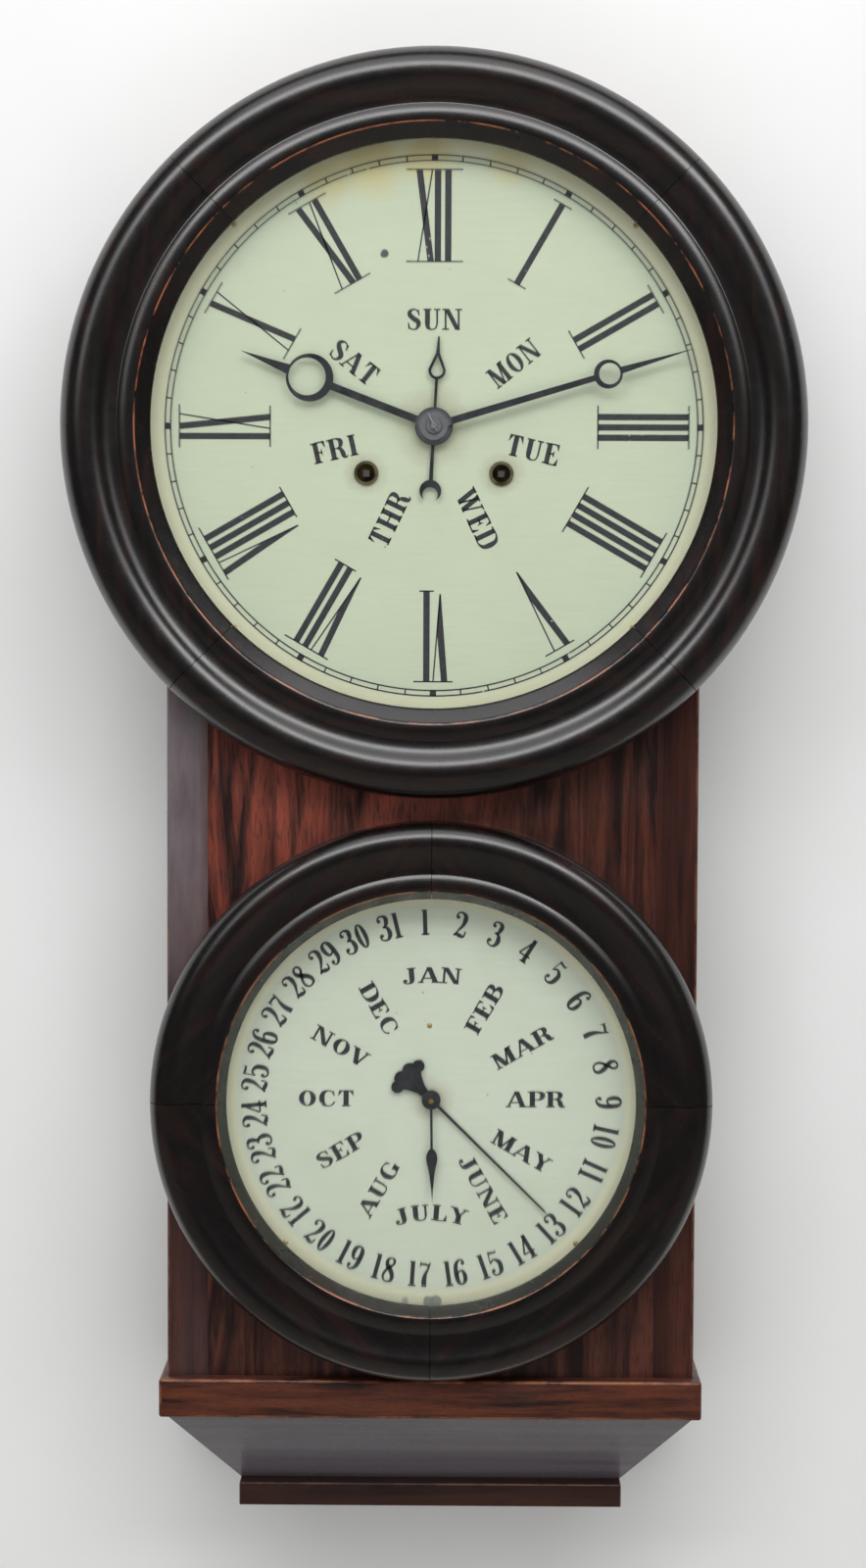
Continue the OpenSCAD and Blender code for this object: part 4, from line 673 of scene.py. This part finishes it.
class CLOCK_OT_case(Operator):
    """Builds the stiles and sides of the case"""
    bl_idname = "clock.case"
    bl_label = "Stiles and sides"

    def execute(self, context):
        low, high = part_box("front_stiles")
        half, foot = high[0] / MM, low[2] / MM
        stile_wide, depth, radius, side_thick = 22.5, 14.0, 186.0, 12.0
        inner = half - stile_wide
        bm = bmesh.new()
        for side in (-1, 1):
            # the stile ends on the round head board, hidden by the bezel
            start_a, end_a = (math.degrees(math.acos(v / radius)) for v in (half, inner))
            curve = [(side * x, y + TIME_UP) for x, y in arc((0, 0), radius, -start_a, -end_a, 12)]
            outline = [(side * inner, foot), (side * half, foot)] + curve
            face = bm.faces.new([bm.verts.new((x, FACE + depth, z)) for x, z in outline])
            grown = bmesh.ops.extrude_face_region(bm, geom=[face])
            top = [v for v in grown["geom"] if isinstance(v, bmesh.types.BMVert)]
            bmesh.ops.translate(bm, vec=(0, -depth, 0), verts=top)
            outer = [e for e in bm.edges if all(abs(v.co.x - side * half) < 0.01 and abs(v.co.y - FACE) < 0.01
                                                for v in e.verts)]
            ease(bm, outer, mm("clock_case", "stile_round"))
        piece("stiles", bm, WHOLE, case_wood(), "case", ["front_stiles"])
        low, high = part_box("side_boards")
        bm = bmesh.new()
        for side in (-1, 1):
            ends = sorted((side * half, side * (half - side_thick)))
            board(bm, (ends[0], low[1] / MM, low[2] / MM), (ends[1], high[1] / MM, high[2] / MM), 0.5, 2)
        piece("sides", bm, WHOLE, case_wood(), "case", ["side_boards"])
        return {"FINISHED"}


class CLOCK_OT_foot(Operator):
    """Builds the ledge and the plinth"""
    bl_idname = "clock.foot"
    bl_label = "Ledge and plinth"

    def execute(self, context):
        for node, material, rounding in (("ledge_board", ledge_wood(), mm("clock_case", "ledge_round")),
                                         ("plinth_board", plinth_wood(), mm("clock_case", "plinth_round"))):
            low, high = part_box(node)
            bm = bmesh.new()
            board(bm, Vector(low) / MM, Vector(high) / MM, rounding)
            piece(node.replace("_board", ""), bm, WHOLE, material, "case", [node])
        return {"FINISHED"}


# ---------------------------------------------------------------- print

# Advance and strokes of each sign of height 1: s stem and h hairline x0 y0 x1 y1, c curve of x y width, o ring,
# b ball, p outline, f serif x y half
GLYPHS = {
    "A": (0.92, "h .08 0 .44 1|s .46 1 .76 0|h .2 .3 .62 .3|f .09 0 .13|f .77 0 .2"),
    "B": (0.82, "s .22 0 .22 1|f .14 0 .14|f .14 1 .14|c .14 .978 .04 .42 .978 .05 .62 .9 .15 .65 .76 .19 "
                ".6 .6 .12 .44 .525 .04 .2 .525 .04|c .2 .525 .04 .48 .52 .05 .68 .42 .15 .73 .27 .2 .66 "
                ".1 .14 .46 .022 .05 .14 .022 .04"),
    "C": (0.8, "c .72 .7 .04 .64 .9 .05 .45 .978 .05 .24 .86 .15 .16 .5 .21 .24 .14 .15 .45 .022 .05 .64 "
               ".1 .05 .74 .3 .04|p .7 1 .75 .66 .7 .66 .64 .86"),
    "D": (0.88, "s .22 0 .22 1|f .14 0 .14|f .14 1 .14|c .14 .978 .04 .46 .975 .05 .7 .82 .15 .76 .5 .21 "
                ".7 .18 .15 .46 .025 .05 .14 .022 .04"),
    "E": (0.78, "s .22 0 .22 1|f .14 0 .14|f .14 1 .14|h .2 .978 .68 .978|h .2 .022 .7 .022|h .2 .52 .5 "
                ".52|p .68 1 .68 .7 .66 .7 .52 1|p .72 0 .72 .34 .7 .34 .54 0|p .5 .68 .5 .36 .48 .36 .4 "
                ".52 .48 .68"),
    "F": (0.74, "s .22 0 .22 1|f .22 0 .2|f .14 1 .14|h .2 .978 .68 .978|h .2 .5 .5 .5|p .68 1 .68 .68 "
                ".66 .68 .52 1|p .5 .66 .5 .34 .48 .34 .4 .5 .48 .66"),
    "G": (0.88, "c .72 .72 .04 .64 .9 .05 .45 .978 .05 .24 .86 .15 .16 .5 .21 .24 .14 .15 .46 .022 .05 "
                ".66 .12 .06|p .7 1 .75 .68 .7 .68 .64 .86|s .7 .02 .7 .42|f .7 .42 .16"),
    "I": (0.46, "s .23 0 .23 1|f .23 0 .19|f .23 1 .19"),
    "H": (0.94, "s .22 0 .22 1|s .72 0 .72 1|f .22 0 .18|f .22 1 .18|f .72 0 .18|f .72 1 .18|h .2 .51 .74 "
                ".51"),
    "J": (0.72, "s .46 .24 .46 1|f .46 1 .2|c .46 .26 .2 .42 .08 .13 .24 .02 .05 .12 .08 .05 .09 .2 .06|b "
                ".15 .2 .1"),
    "L": (0.76, "s .22 0 .22 1|f .14 0 .14|f .22 1 .19|h .2 .022 .68 .022|p .7 0 .7 .38 .68 .38 .52 0"),
    "M": (1.08, "h .15 0 .15 1|s .2 1 .52 0|h .52 .02 .82 1|s .86 0 .86 1|f .15 0 .15|f .1 1 .1|f .86 0 "
                ".19|f .94 1 .11"),
    "N": (0.96, "h .16 0 .16 1|s .21 1 .74 0|h .78 0 .78 1|f .16 0 .16|f .1 1 .1|f .78 1 .16"),
    "O": (0.9, "o .45 .5 .39 .5 .2 .04"),
    "P": (0.78, "s .22 0 .22 1|f .22 0 .2|f .14 1 .14|c .14 .978 .04 .44 .975 .05 .65 .88 .16 .68 .73 .2 "
                ".62 .54 .13 .42 .47 .04 .2 .47 .04"),
    "R": (0.92, "s .22 0 .22 1|f .22 0 .2|f .14 1 .14|c .14 .978 .04 .44 .975 .05 .63 .89 .15 .66 .75 .19 "
                ".6 .58 .12 .42 .51 .04 .2 .51 .04|c .46 .5 .05 .6 .44 .13 .66 .28 .19 .7 .1 .17 .8 .02 "
                ".06 .88 .1 .04"),
    "S": (0.72, "c .6 .68 .04 .56 .86 .05 .38 .978 .05 .18 .88 .13 .16 .72 .18 .34 .54 .2 .54 .4 .2 .58 "
                ".24 .17 .48 .06 .08 .34 .022 .05 .16 .1 .05 .1 .34 .04|p .6 1 .62 .68 .58 .68 .52 .88|p "
                ".1 0 .08 .34 .12 .34 .18 .12"),
    "T": (0.84, "s .42 0 .42 1|f .42 0 .2|h .1 .978 .74 .978|p .06 .66 .1 1 .28 1 .08 .66|p .78 .66 .74 1 "
                ".56 1 .76 .66"),
    "U": (0.9, "s .24 .3 .24 1|f .24 1 .19|c .24 .32 .2 .27 .12 .14 .45 .022 .05 .64 .1 .05 .7 .32 .05|h "
               ".7 .3 .7 1|f .7 1 .15"),
    "V": (0.86, "s .16 1 .44 0|h .46 .02 .72 1|f .15 1 .18|f .72 1 .14"),
    "W": (1.24, "s .16 1 .4 0|h .42 .02 .6 .9|s .56 1 .8 0|h .82 .02 1.06 1|f .16 1 .18|f .6 1 .18|f 1.06 "
                "1 .14"),
    "Y": (0.86, "s .16 1 .43 .46|h .44 .48 .7 1|s .43 0 .43 .48|f .15 1 .18|f .7 1 .14|f .43 0 .2"),
    "0": (0.56, "o .27 .5 .22 .5 .15 .04"),
    "1": (0.4, "s .2 0 .2 1|f .2 0 .15|p .1 1 .2 .975 .2 .94 .04 .96"),
    "2": (0.54, "b .12 .78 .075|c .06 .8 .05 .12 .94 .05 .26 .978 .06 .4 .88 .14 .42 .72 .17 .36 .5 .12 "
                ".2 .26 .06 .08 .06 .05|c .05 .05 .05 .14 .12 .1 .26 .08 .15 .4 .05 .1 .46 .12 .05 .48 "
                ".26 .04"),
    "3": (0.54, "b .12 .8 .07|c .06 .82 .05 .13 .95 .05 .26 .978 .06 .39 .9 .14 .4 .74 .16 .34 .58 .1 .22 "
                ".54 .045|c .22 .54 .045 .38 .5 .1 .44 .34 .16 .44 .2 .16 .36 .06 .1 .24 .022 .05 .1 .08 "
                ".05 .05 .22 .05|b .12 .22 .075"),
    "4": (0.56, "s .34 0 .34 1|h .04 .28 .5 .28|h .36 .98 .04 .29|f .34 0 .14"),
    "5": (0.54, "p .1 1 .38 .94 .44 1.02 .42 .86 .14 .88 .1 .5 .06 .5|c .09 .52 .04 .16 .6 .06 .28 .63 "
                ".08 .42 .5 .15 .44 .32 .17 .4 .12 .14 .26 .022 .06 .12 .06 .05 .05 .2 .05|b .12 .22 .075"),
    "6": (0.54, "c .44 .84 .05 .38 .96 .05 .26 .975 .07 .12 .8 .14 .1 .45 .17 .14 .14 .14 .27 .022 .06 .4 "
                ".12 .13 .43 .3 .15 .38 .5 .11 .28 .56 .06 .16 .46 .045 .12 .36 .04|b .39 .84 .07"),
    "7": (0.52, "p .04 .76 .06 1 .14 .94 .26 .95 .38 .9 .46 1 .46 .94 .38 .8 .24 .85 .1 .85 .06 .76|c .44 "
                ".96 .05 .38 .74 .06 .28 .5 .12 .24 .26 .18 .25 .08 .18 .25 0 .18"),
    "8": (0.54, "c .27 .978 .05 .38 .9 .08 .39 .76 .08 .27 .6 .1 .13 .4 .09 .08 .22 .08 .14 .06 .06 .27 "
                ".022 .05 .41 .08 .1 .44 .24 .14 .36 .42 .17 .22 .58 .17 .13 .72 .14 .14 .88 .09 .27 .978 "
                ".05"),
    "9": (0.54, "c .1 .16 .05 .16 .04 .05 .28 .025 .07 .42 .2 .14 .44 .55 .17 .4 .86 .14 .27 .978 .06 .14 "
                ".88 .13 .11 .7 .15 .16 .5 .11 .26 .44 .06 .38 .54 .045 .42 .64 .04|b .15 .16 .07"),
}


def smooth_run(points, steps=6):
    """A smooth run through points, each a tuple of any number of values."""
    held = [points[0]] + list(points) + [points[-1]]
    run = []
    for i in range(1, len(held) - 2):
        for k in range(steps):
            t = k / steps
            run.append(tuple(0.5 * (2 * b + (c - a) * t + (2 * a - 5 * b + 4 * c - d) * t * t
                                    + (3 * b - a - 3 * c + d) * t ** 3) for a, b, c, d in zip(*held[i - 1:i + 3])))
    return run + [points[-1]]


def bar(x0, x1, y0, y1):
    return [(x0, y0), (x1, y0), (x1, y1), (x0, y1)]


def slanted(x0, y0, x1, y1, half):
    """A straight stroke between two heights, its ends level."""
    return [(x0 - half, y0), (x0 + half, y0), (x1 + half, y1), (x1 - half, y1)]


def stroke(points):
    """Outlines along a run of (x, y, width)."""
    sides = []
    for i, (x, y, w) in enumerate(points):
        a, b = points[max(i - 1, 0)], points[min(i + 1, len(points) - 1)]
        dx, dy = b[0] - a[0], b[1] - a[1]
        size = math.hypot(dx, dy) or 1
        sides.append(((x - dy / size * w / 2, y + dx / size * w / 2), (x + dy / size * w / 2, y - dx / size * w / 2)))
    return [[p[0], p[1], q[1], q[0]] for p, q in zip(sides, sides[1:])]


def sign(letter, stem, hair):
    """Outlines of one sign of height 1."""
    drawn_stem, drawn_hair = (0.15 if letter.isdigit() else 0.2), 0.05

    def weight(w):
        return max(hair * 0.7, hair + (w - drawn_hair) * (stem - hair) / (drawn_stem - drawn_hair))

    outlines = []
    for part in GLYPHS[letter][1].split("|"):
        kind, *numbers = part.split()
        v = [float(n) for n in numbers]
        if kind in "sh":
            x0, y0, x1, y1 = v
            if kind == "h" and y0 == y1:
                outlines.append(bar(x0, x1, y0 - hair / 2, y0 + hair / 2))
            else:
                outlines.append(slanted(x0, y0, x1, y1, (stem if kind == "s" else hair * 1.2) / 2))
        elif kind == "f":
            x, y, half = v
            y += hair / 2 if y < 0.3 else -hair / 2
            outlines.append(bar(x - half, x + half, y - hair / 2, y + hair / 2))
        elif kind == "b":
            outlines.append(arc(v[:2], v[2], 0, 337.5, 15))
        elif kind == "p":
            outlines.append(list(zip(v[::2], v[1::2])))
        elif kind == "o":
            cx, cy, a, b, t, h = v
            t, h = weight(t), hair
            pairs = [((cx + a * x, cy + b * y), (cx + (a - t) * x, cy + (b - h) * y))
                     for x, y in arc((0, 0), 1, 0, 360, 32)]
            outlines += [[p[0], q[0], q[1], p[1]] for p, q in zip(pairs, pairs[1:])]
        else:
            outlines += stroke(smooth_run(list(zip(v[::3], v[1::3], [weight(w) for w in v[2::3]]))))
    return outlines


def turned(points, degrees, x=0.0, y=0.0):
    c, s = math.cos(math.radians(degrees)), math.sin(math.radians(degrees))
    return [(x + c * px - s * py, y + s * px + c * py) for px, py in points]


def lay(bm, points):
    """One printed outline."""
    bm.faces.new([bm.verts.new((x, y, INK_LEVEL)) for x, y in points])


def word(bm, text, height, x, y, turn, stem, hair, space, bend=0.0, wide_by=1.0):
    """Printed text with its middle at x, y. stem and hair are shares of the height; bend is an arched line's radius."""
    advance = [GLYPHS[c][0] * height * wide_by for c in text]
    total = sum(advance) + space * (len(text) - 1)
    at = -total / 2
    for letter, wide in zip(text, advance):
        for outline in sign(letter, stem, hair):
            drawn = [((px * height * wide_by + at), (py - 0.5) * height) for px, py in outline]
            if bend:
                middle = at + wide / 2
                drawn = turned([(px - middle, py + bend) for px, py in drawn], -math.degrees(middle / bend), 0, -bend)
            lay(bm, turned(drawn, turn, x, y))
        at += wide + space


def on_dial(radius, clock):
    a = math.radians(clock)
    return radius * math.sin(a), radius * math.cos(a)


def circle_line(bm, radius, width):
    ends = [bm.verts.new((r, 0, INK_LEVEL)) for r in (radius - width, radius)]
    bmesh.ops.spin(bm, geom=ends + [bm.edges.new(ends)], axis=(0, 0, 1), cent=(0, 0, 0), angle=2 * math.pi, steps=180,
                   use_merge=True)


def printed(name, bm, up, material):
    """Gives the drawn outlines the thickness of a coat of ink and sets them on the dial."""
    bmesh.ops.recalc_face_normals(bm, faces=bm.faces)
    for face in bm.faces:
        if face.normal.z < 0:
            face.normal_flip()
    grown = bmesh.ops.extrude_face_region(bm, geom=list(bm.faces), use_keep_orig=True)
    back = [v for v in grown["geom"] if isinstance(v, bmesh.types.BMVert)]
    bmesh.ops.translate(bm, vec=(0, 0, -INK_THICK), verts=back)
    return piece(name, bm, front(up), material, "case", merge=False)


PX = 1 / 1.8797

# Each numeral of the time dial in pixels of the photograph: half width of the outer serif line, span of the inner
# line or None, and the strokes as (kind, place of the thick stroke at the outer end, hair outer, inner end)
NUMERALS = {
    1: (10.5, (-10.5, 10.5), [("I", 0)]),
    2: (16.5, (-16.5, 16.5), [("I", -5.25), ("I", 5.25)]),
    3: (22, (-22, 22), [("I", -10.5), ("I", 0), ("I", 10.5)]),
    4: (26.5, (-26.5, 26.5), [("I", -15.75), ("I", -5.25), ("I", 5.25), ("I", 15.75)]),
    5: (17, None, [("V", -8.8, 6.3, 0)]),
    6: (20.2, (-0.7, 14.3), [("V", -11.5, 0, -7), ("I", 6.85)]),
    7: (25.5, (-5, 20), [("V", -17.2, -5.5, -12.6), ("I", 1.6), ("I", 12.1)]),
    8: (30.5, (-10, 25.5), [("V", -22.4, -10.7, -17.8), ("I", -3.6), ("I", 6.9), ("I", 17.4)]),
    9: (22, (-21, 21), [("I", -10.1), ("X", 0, 12.5, 9.5, -2.2)]),
    10: (18, (-18, 18), [("X", -6.2, 7, 5.4, -7.6)]),
    11: (22, (-21, 21), [("X", -10.4, 2.8, 1.2, -11.9), ("I", 8.4)]),
    12: (29, (-29, 29), [("X", -15.6, -2.4, -4, -17.1), ("I", 3.2), ("I", 13.7)]),
}


def numeral(bm, hour):
    half, span, strokes = NUMERALS[hour]
    foot, top = mm("clock_print", "numeral_foot") / PX, mm("clock_print", "numeral_top") / PX
    thick, line = mm("clock_print", "stem") / PX / 2, mm("clock_print", "line") / PX / 2
    outlines = []
    for kind, outer, *rest in strokes:
        if kind == "I":
            outlines.append(slanted(outer, foot, outer, top, thick))
        elif kind == "V":
            hair, point = rest
            # the thick leg ends where its right side meets the hairline
            share = (outer + thick - hair) / (outer - thick - hair)
            meet = (outer + thick + (point + thick - outer) * share, top + (foot - top) * share)
            tip = foot + 3
            outlines.append([(outer - thick, top), (point - 0.8, tip), (point + 0.8, tip), meet, (outer + thick, top)])
            outlines.append(slanted(hair, top, point, tip, line))
        else:
            hair, low, hair_low = rest
            outlines += [slanted(outer, top, low, foot, thick), slanted(hair, top, hair_low, foot, line)]
    for radius, ends in ((top, (-half, half)), (foot, span)):
        if ends:
            outlines.append(bar(*ends, radius - line, radius + line))
    for outline in outlines:
        scaled = [(x * PX, y * PX) for x, y in outline]
        lay(bm, turned(scaled, -30 * hour))


class CLOCK_OT_time_print(Operator):
    """Prints the minute track, the numerals and the days on the time dial"""
    bl_idname = "clock.time_print"
    bl_label = "Time dial print"

    def execute(self, context):
        outer, wide, line = (mm("clock_print", n) for n in ("track", "track_width", "line"))
        bm = bmesh.new()
        circle_line(bm, outer, line)
        circle_line(bm, outer - wide, line)
        hour_mark = 3.5
        for minute in range(60):
            half = hour_mark / 2 if minute % 5 == 0 else line / 2
            lay(bm, turned(bar(-half, half, outer - wide - line, outer), -6 * minute))
        printed("minute_track_print", bm, TIME_UP, ink())
        bm = bmesh.new()
        for hour in range(1, 13):
            numeral(bm, hour)
        printed("hour_numerals_print", bm, TIME_UP, ink())
        bm = bmesh.new()
        high, reach = mm("clock_print", "day_height"), mm("clock_print", "day_radius")
        for i, day in enumerate("SUN MON TUE WED THR FRI SAT".split()):
            clock = i * 360 / 7
            x, y = on_dial(reach + (2.6 if i == 0 else 0), clock)
            turn = 0 if i == 0 else (90 if clock < 180 else 270) - clock
            word(bm, day, high, x, y, turn, 0.24, 0.075, 0.5, wide_by=0.9 if day == "MON" else 1.0)
        printed("day_words_print", bm, TIME_UP, ink())
        return {"FINISHED"}


class CLOCK_OT_calendar_print(Operator):
    """Prints the dates and the months on the calendar dial"""
    bl_idname = "clock.calendar_print"
    bl_label = "Calendar dial print"

    def execute(self, context):
        high, reach = mm("clock_print", "date_height"), mm("clock_print", "date_radius")
        bm = bmesh.new()
        first, step = -2.2, 11.613
        for date in range(1, 32):
            clock = first + (date - 1) * step
            x, y = on_dial(reach, clock)
            turn = -clock + (180 if 12 <= date <= 21 else 0)
            word(bm, str(date), high, x, y, turn, 0.165, 0.07, 0.35)
        printed("date_numbers_print", bm, CALENDAR_UP, ink())
        high, reach = mm("clock_print", "month_height"), mm("clock_print", "month_radius")
        bm = bmesh.new()
        for i, month in enumerate("JAN FEB MAR APR MAY JUNE JULY AUG SEP OCT NOV DEC".split()):
            # January and July are arched, and stand further out
            out, bend = {"JAN": (10.8, 130), "JULY": (5.4, 62)}.get(month, (0, 0))
            clock = 30 * i
            x, y = on_dial(reach + out, clock)
            turn = 0 if out else (90 if clock < 180 else 270) - clock
            word(bm, month, high, x, y, turn, 0.24, 0.085, 0.8 if out else 0.5, bend, wide_by=1.38)
        printed("month_words_print", bm, CALENDAR_UP, ink())
        return {"FINISHED"}


# ---------------------------------------------------------------- finishes of the carried-over parts

class CLOCK_OT_finishes(Operator):
    """Gives every carried-over part its finish"""
    bl_idname = "clock.finishes"
    bl_label = "Finishes"

    def execute(self, context):
        by_slot = finishes()
        # the dials' own paints stand below; nothing else is in their slot
        by_slot["dial_paint"] = by_slot["bead_wood"]
        yellow, brown, zinc = "#cabb78", "#8c7b55", "#8f948c"
        slots = {s["node"]: s["material_slot"] for s in frame["record"]["subparts"]}
        squares = metal("brass_wheel_on_steel_arbor", finish("brass"), opaque("#6f5a34"), 0.4, 0.8,
                        ahead=opaque("#6d6c6e"))
        own = {
            "time_dial": dial_paint("time_dial_paint", finish("dial"), TIME_UP, mm("clock_rings", "time_sight"), (
                (-34, 142, 19, 0.6, yellow), (-4, 144, 14, 0.6, yellow), (-60, 132, 14, 0.5, yellow),
                (40, 141, 12, 0.4, yellow), (-27.1, 93.1, 2.7, 1.0, "#4d555b"), (0, 0, 20, 0.35, brown),
                (-36.7, -25.2, 11, 0.4, brown), (36.7, -25.2, 11, 0.4, brown))),
            "calendar_dial": dial_paint("calendar_dial_paint", finish("calendar_dial"), CALENDAR_UP,
                                        mm("clock_rings", "calendar_sight"), (
                (3, -112.5, 4.2, 0.9, zinc), (-1, -112.8, 3.6, 0.9, zinc), (-14, -112.2, 2.2, 0.8, "#a4a89c"),
                (0, 0, 12, 0.3, brown))),
            "chin_boards": chin_wood(), "time_great_wheel": squares, "strike_great_wheel": squares,
            "centre_arbor": by_slot["steel"],
            "dial_pins": metal("bright_brass_pins", opaque("#dcc58c"), opaque("#a98f58"), 0.45, 0.5,
                               metallic=0.6),
        }
        for name, node in frame["nodes"].items():
            material = own.get(name) or by_slot[slots[name]]
            if not node.data.materials:
                node.data.materials.append(material)
            for i in range(len(node.data.materials)):
                node.data.materials[i] = material
        return {"FINISHED"}


# ---------------------------------------------------------------- stage

def wall_paint():
    """Plain wall paint; seen from behind, and by lamps, it isn't there."""
    material, tree, at = start("wall_paint")
    if tree is None:
        return material
    # the paint is uneven over about 170 mm
    plaster = add(tree, "TexNoise", {"Vector": at, "Scale": 6, "Detail": 4, "Roughness": 0.6})
    uneven = add(tree, "ValToRGB", {"Fac": plaster}, [(0.3, 0), (0.8, 0.25)])
    body = add(tree, "Mix", {"Factor": uneven, "A": finish("wall"), "B": opaque("#d9d9d8")}, data_type="RGBA")
    shader = add(tree, "BsdfPrincipled", {"Base Color": body, "Roughness": 0.9, "Specular IOR Level": 0.2})
    path = add(tree, "LightPath").outputs
    other = add(tree, "Math", {0: path["Is Glossy Ray"], 1: path["Is Transmission Ray"]}, operation="MAXIMUM")
    seen = add(tree, "Math", {0: path["Is Camera Ray"], 1: other}, operation="MAXIMUM")
    behind = add(tree, "NewGeometry").outputs["Backfacing"]
    before = add(tree, "Math", {0: 1.0, 1: behind}, operation="SUBTRACT")
    shown = add(tree, "Math", {0: seen, 1: before}, operation="MULTIPLY")
    mixed = add(tree, "MixShader", {0: shown, 1: add(tree, "BsdfTransparent"), 2: shader})
    add(tree, "OutputMaterial", {"Surface": mixed})
    return material


def floor_paint():
    """Plain matt floor, pale to the eye; the gloss of the bezels shows a darker room."""
    material, tree, at = start("floor_paint")
    if tree is None:
        return material
    # trodden over about 330 mm
    worn = add(tree, "TexNoise", {"Vector": at, "Scale": 3, "Detail": 3, "Roughness": 0.5})
    uneven = add(tree, "ValToRGB", {"Fac": worn}, [(0.3, 0), (0.8, 0.2)])
    body = add(tree, "Mix", {"Factor": uneven, "A": finish("floor"), "B": opaque("#dcdbd6")}, data_type="RGBA")
    seen = add(tree, "LightPath").outputs["Is Camera Ray"]
    shader = add(tree, "BsdfPrincipled", {
        "Base Color": add(tree, "Mix", {"Factor": seen, "A": opaque("#8d8983"), "B": body}, data_type="RGBA"),
        "Roughness": 0.8})
    add(tree, "OutputMaterial", {"Surface": shader})
    return material


def plane(name, corners, material):
    bm = bmesh.new()
    bm.faces.new([bm.verts.new(c) for c in corners])
    mesh = bpy.data.meshes.new(name)
    bm.to_mesh(mesh)
    bm.free()
    mesh.materials.append(material)
    made = bpy.data.objects.new(name, mesh)
    bpy.context.scene.collection.objects.link(made)


def lamp(name, place, aim, power, wide, high, gloss=True):
    """An area lamp; gloss tells whether polished surfaces show it."""
    data = bpy.data.lights.new(name, "AREA")
    data.shape, data.size, data.size_y, data.energy = "RECTANGLE", wide, high, power
    made = bpy.data.objects.new(name, data)
    made.visible_glossy = gloss
    made.matrix_world = (Matrix.Translation(place) @
                         (Vector(aim) - Vector(place)).to_track_quat("-Z", "Y").to_matrix().to_4x4())
    bpy.context.scene.collection.objects.link(made)


def camera(distance):
    """The photograph's view: slightly down, slightly turned, in metres and degrees."""
    pitch, yaw, roll = (math.radians(v) for v in (3.191, -0.5247, 0.2337))
    ahead = Vector((math.sin(yaw) * math.cos(pitch), math.cos(yaw) * math.cos(pitch), -math.sin(pitch)))
    right = Vector((math.cos(yaw), -math.sin(yaw), 0))
    up = right.cross(ahead)
    side = right * math.cos(roll) + up * math.sin(roll)
    top = up * math.cos(roll) - right * math.sin(roll)
    data = bpy.data.cameras.new("camera")
    data.sensor_fit, data.sensor_height, data.lens = "VERTICAL", 36, 65.25
    data.clip_end = 50
    made = bpy.data.objects.new("camera", data)
    turn = Matrix((side, top, -ahead)).transposed().to_4x4()
    made.matrix_world = Matrix.Translation((0.01448, -distance, -0.26771)) @ turn
    bpy.context.scene.collection.objects.link(made)
    bpy.context.scene.camera = made


class CLOCK_OT_stage(Operator):
    """Sets up the wall, the floor, the lamps and the camera"""
    bl_idname = "clock.stage"
    bl_label = "Stage"

    def execute(self, context):
        studio = context.scene.clock_studio
        deep, wall = -studio.floor_level, 0.0006
        plane("wall", [(-6, wall, deep), (6, wall, deep), (6, wall, 4), (-6, wall, 4)], wall_paint())
        plane("floor", [(-6, -6, deep), (6, -6, deep), (6, 6, deep), (-6, 6, deep)], floor_paint())
        aim = (0, -0.05, -0.55)
        lamp("key", (1.25, -1.9, 0.75), aim, studio.key, 0.7, 1.0)
        lamp("fill", (-1.35, -1.8, 0.55), aim, studio.fill, 0.7, 0.9)
        lamp("front", (0, -1.9, -1.1), (0, -0.05, -0.95), studio.front, 1.8, 0.9, gloss=False)
        lamp("top", (0.05, -1.45, 0.85), aim, studio.top, 2.3, 0.5)
        lamp("ceiling", (0.0, -0.85, 1.1), aim, studio.ceiling, 1.6, 0.7)
        world = bpy.data.worlds.new("room")
        world.use_nodes = True
        context.scene.world = world
        tree = world.node_tree
        tree.nodes.clear()
        path = add(tree, "LightPath").outputs
        seen = add(tree, "Math", {0: path["Is Camera Ray"], 1: path["Is Transmission Ray"]}, operation="MAXIMUM")
        # the pale wall is what gloss shows of the background; the room in front of the clock is dim
        strength = add(tree, "Mix", {"Factor": path["Is Glossy Ray"], "A": studio.room, "B": studio.dim},
                       data_type="FLOAT")
        plain = add(tree, "Background", {"Color": opaque("#f4f3f0"), "Strength": strength})
        white = add(tree, "Background", {"Color": opaque("#f2f2f0"), "Strength": 1.0})
        add(tree, "OutputWorld", {"Surface": add(tree, "MixShader", {0: seen, 1: plain, 2: white})})
        camera(studio.distance)
        context.scene.view_settings.view_transform = "Standard"
        return {"FINISHED"}


OPERATORS = (CLOCK_OT_finishes, CLOCK_OT_bezels, CLOCK_OT_case, CLOCK_OT_foot, CLOCK_OT_time_print,
             CLOCK_OT_calendar_print, CLOCK_OT_stage)


class CLOCK_PT_panel(Panel):
    """Lists the clock's settings and steps"""
    bl_idname = "CLOCK_PT_panel"
    bl_label = "Calendar wall clock"
    bl_space_type = "VIEW_3D"
    bl_region_type = "UI"
    bl_category = "Clock"

    def draw(self, context):
        for group in GROUPS:
            box = self.layout.box()
            settings = getattr(context.scene, group)
            for name in settings.__annotations__:
                box.prop(settings, name)
        for step in OPERATORS:
            self.layout.operator(step.bl_idname)


CLASSES = tuple(GROUPS.values()) + OPERATORS + (CLOCK_PT_panel,)


def register():
    for kind in CLASSES:
        bpy.utils.register_class(kind)
    for name, group in GROUPS.items():
        setattr(bpy.types.Scene, name, PointerProperty(type=group))


def unregister():
    for name in GROUPS:
        delattr(bpy.types.Scene, name)
    for kind in reversed(CLASSES):
        bpy.utils.unregister_class(kind)


def main():
    register()
    for step in OPERATORS:
        getattr(bpy.ops.clock, step.bl_idname.split(".")[1])()


if __name__ == "__main__":
    main()
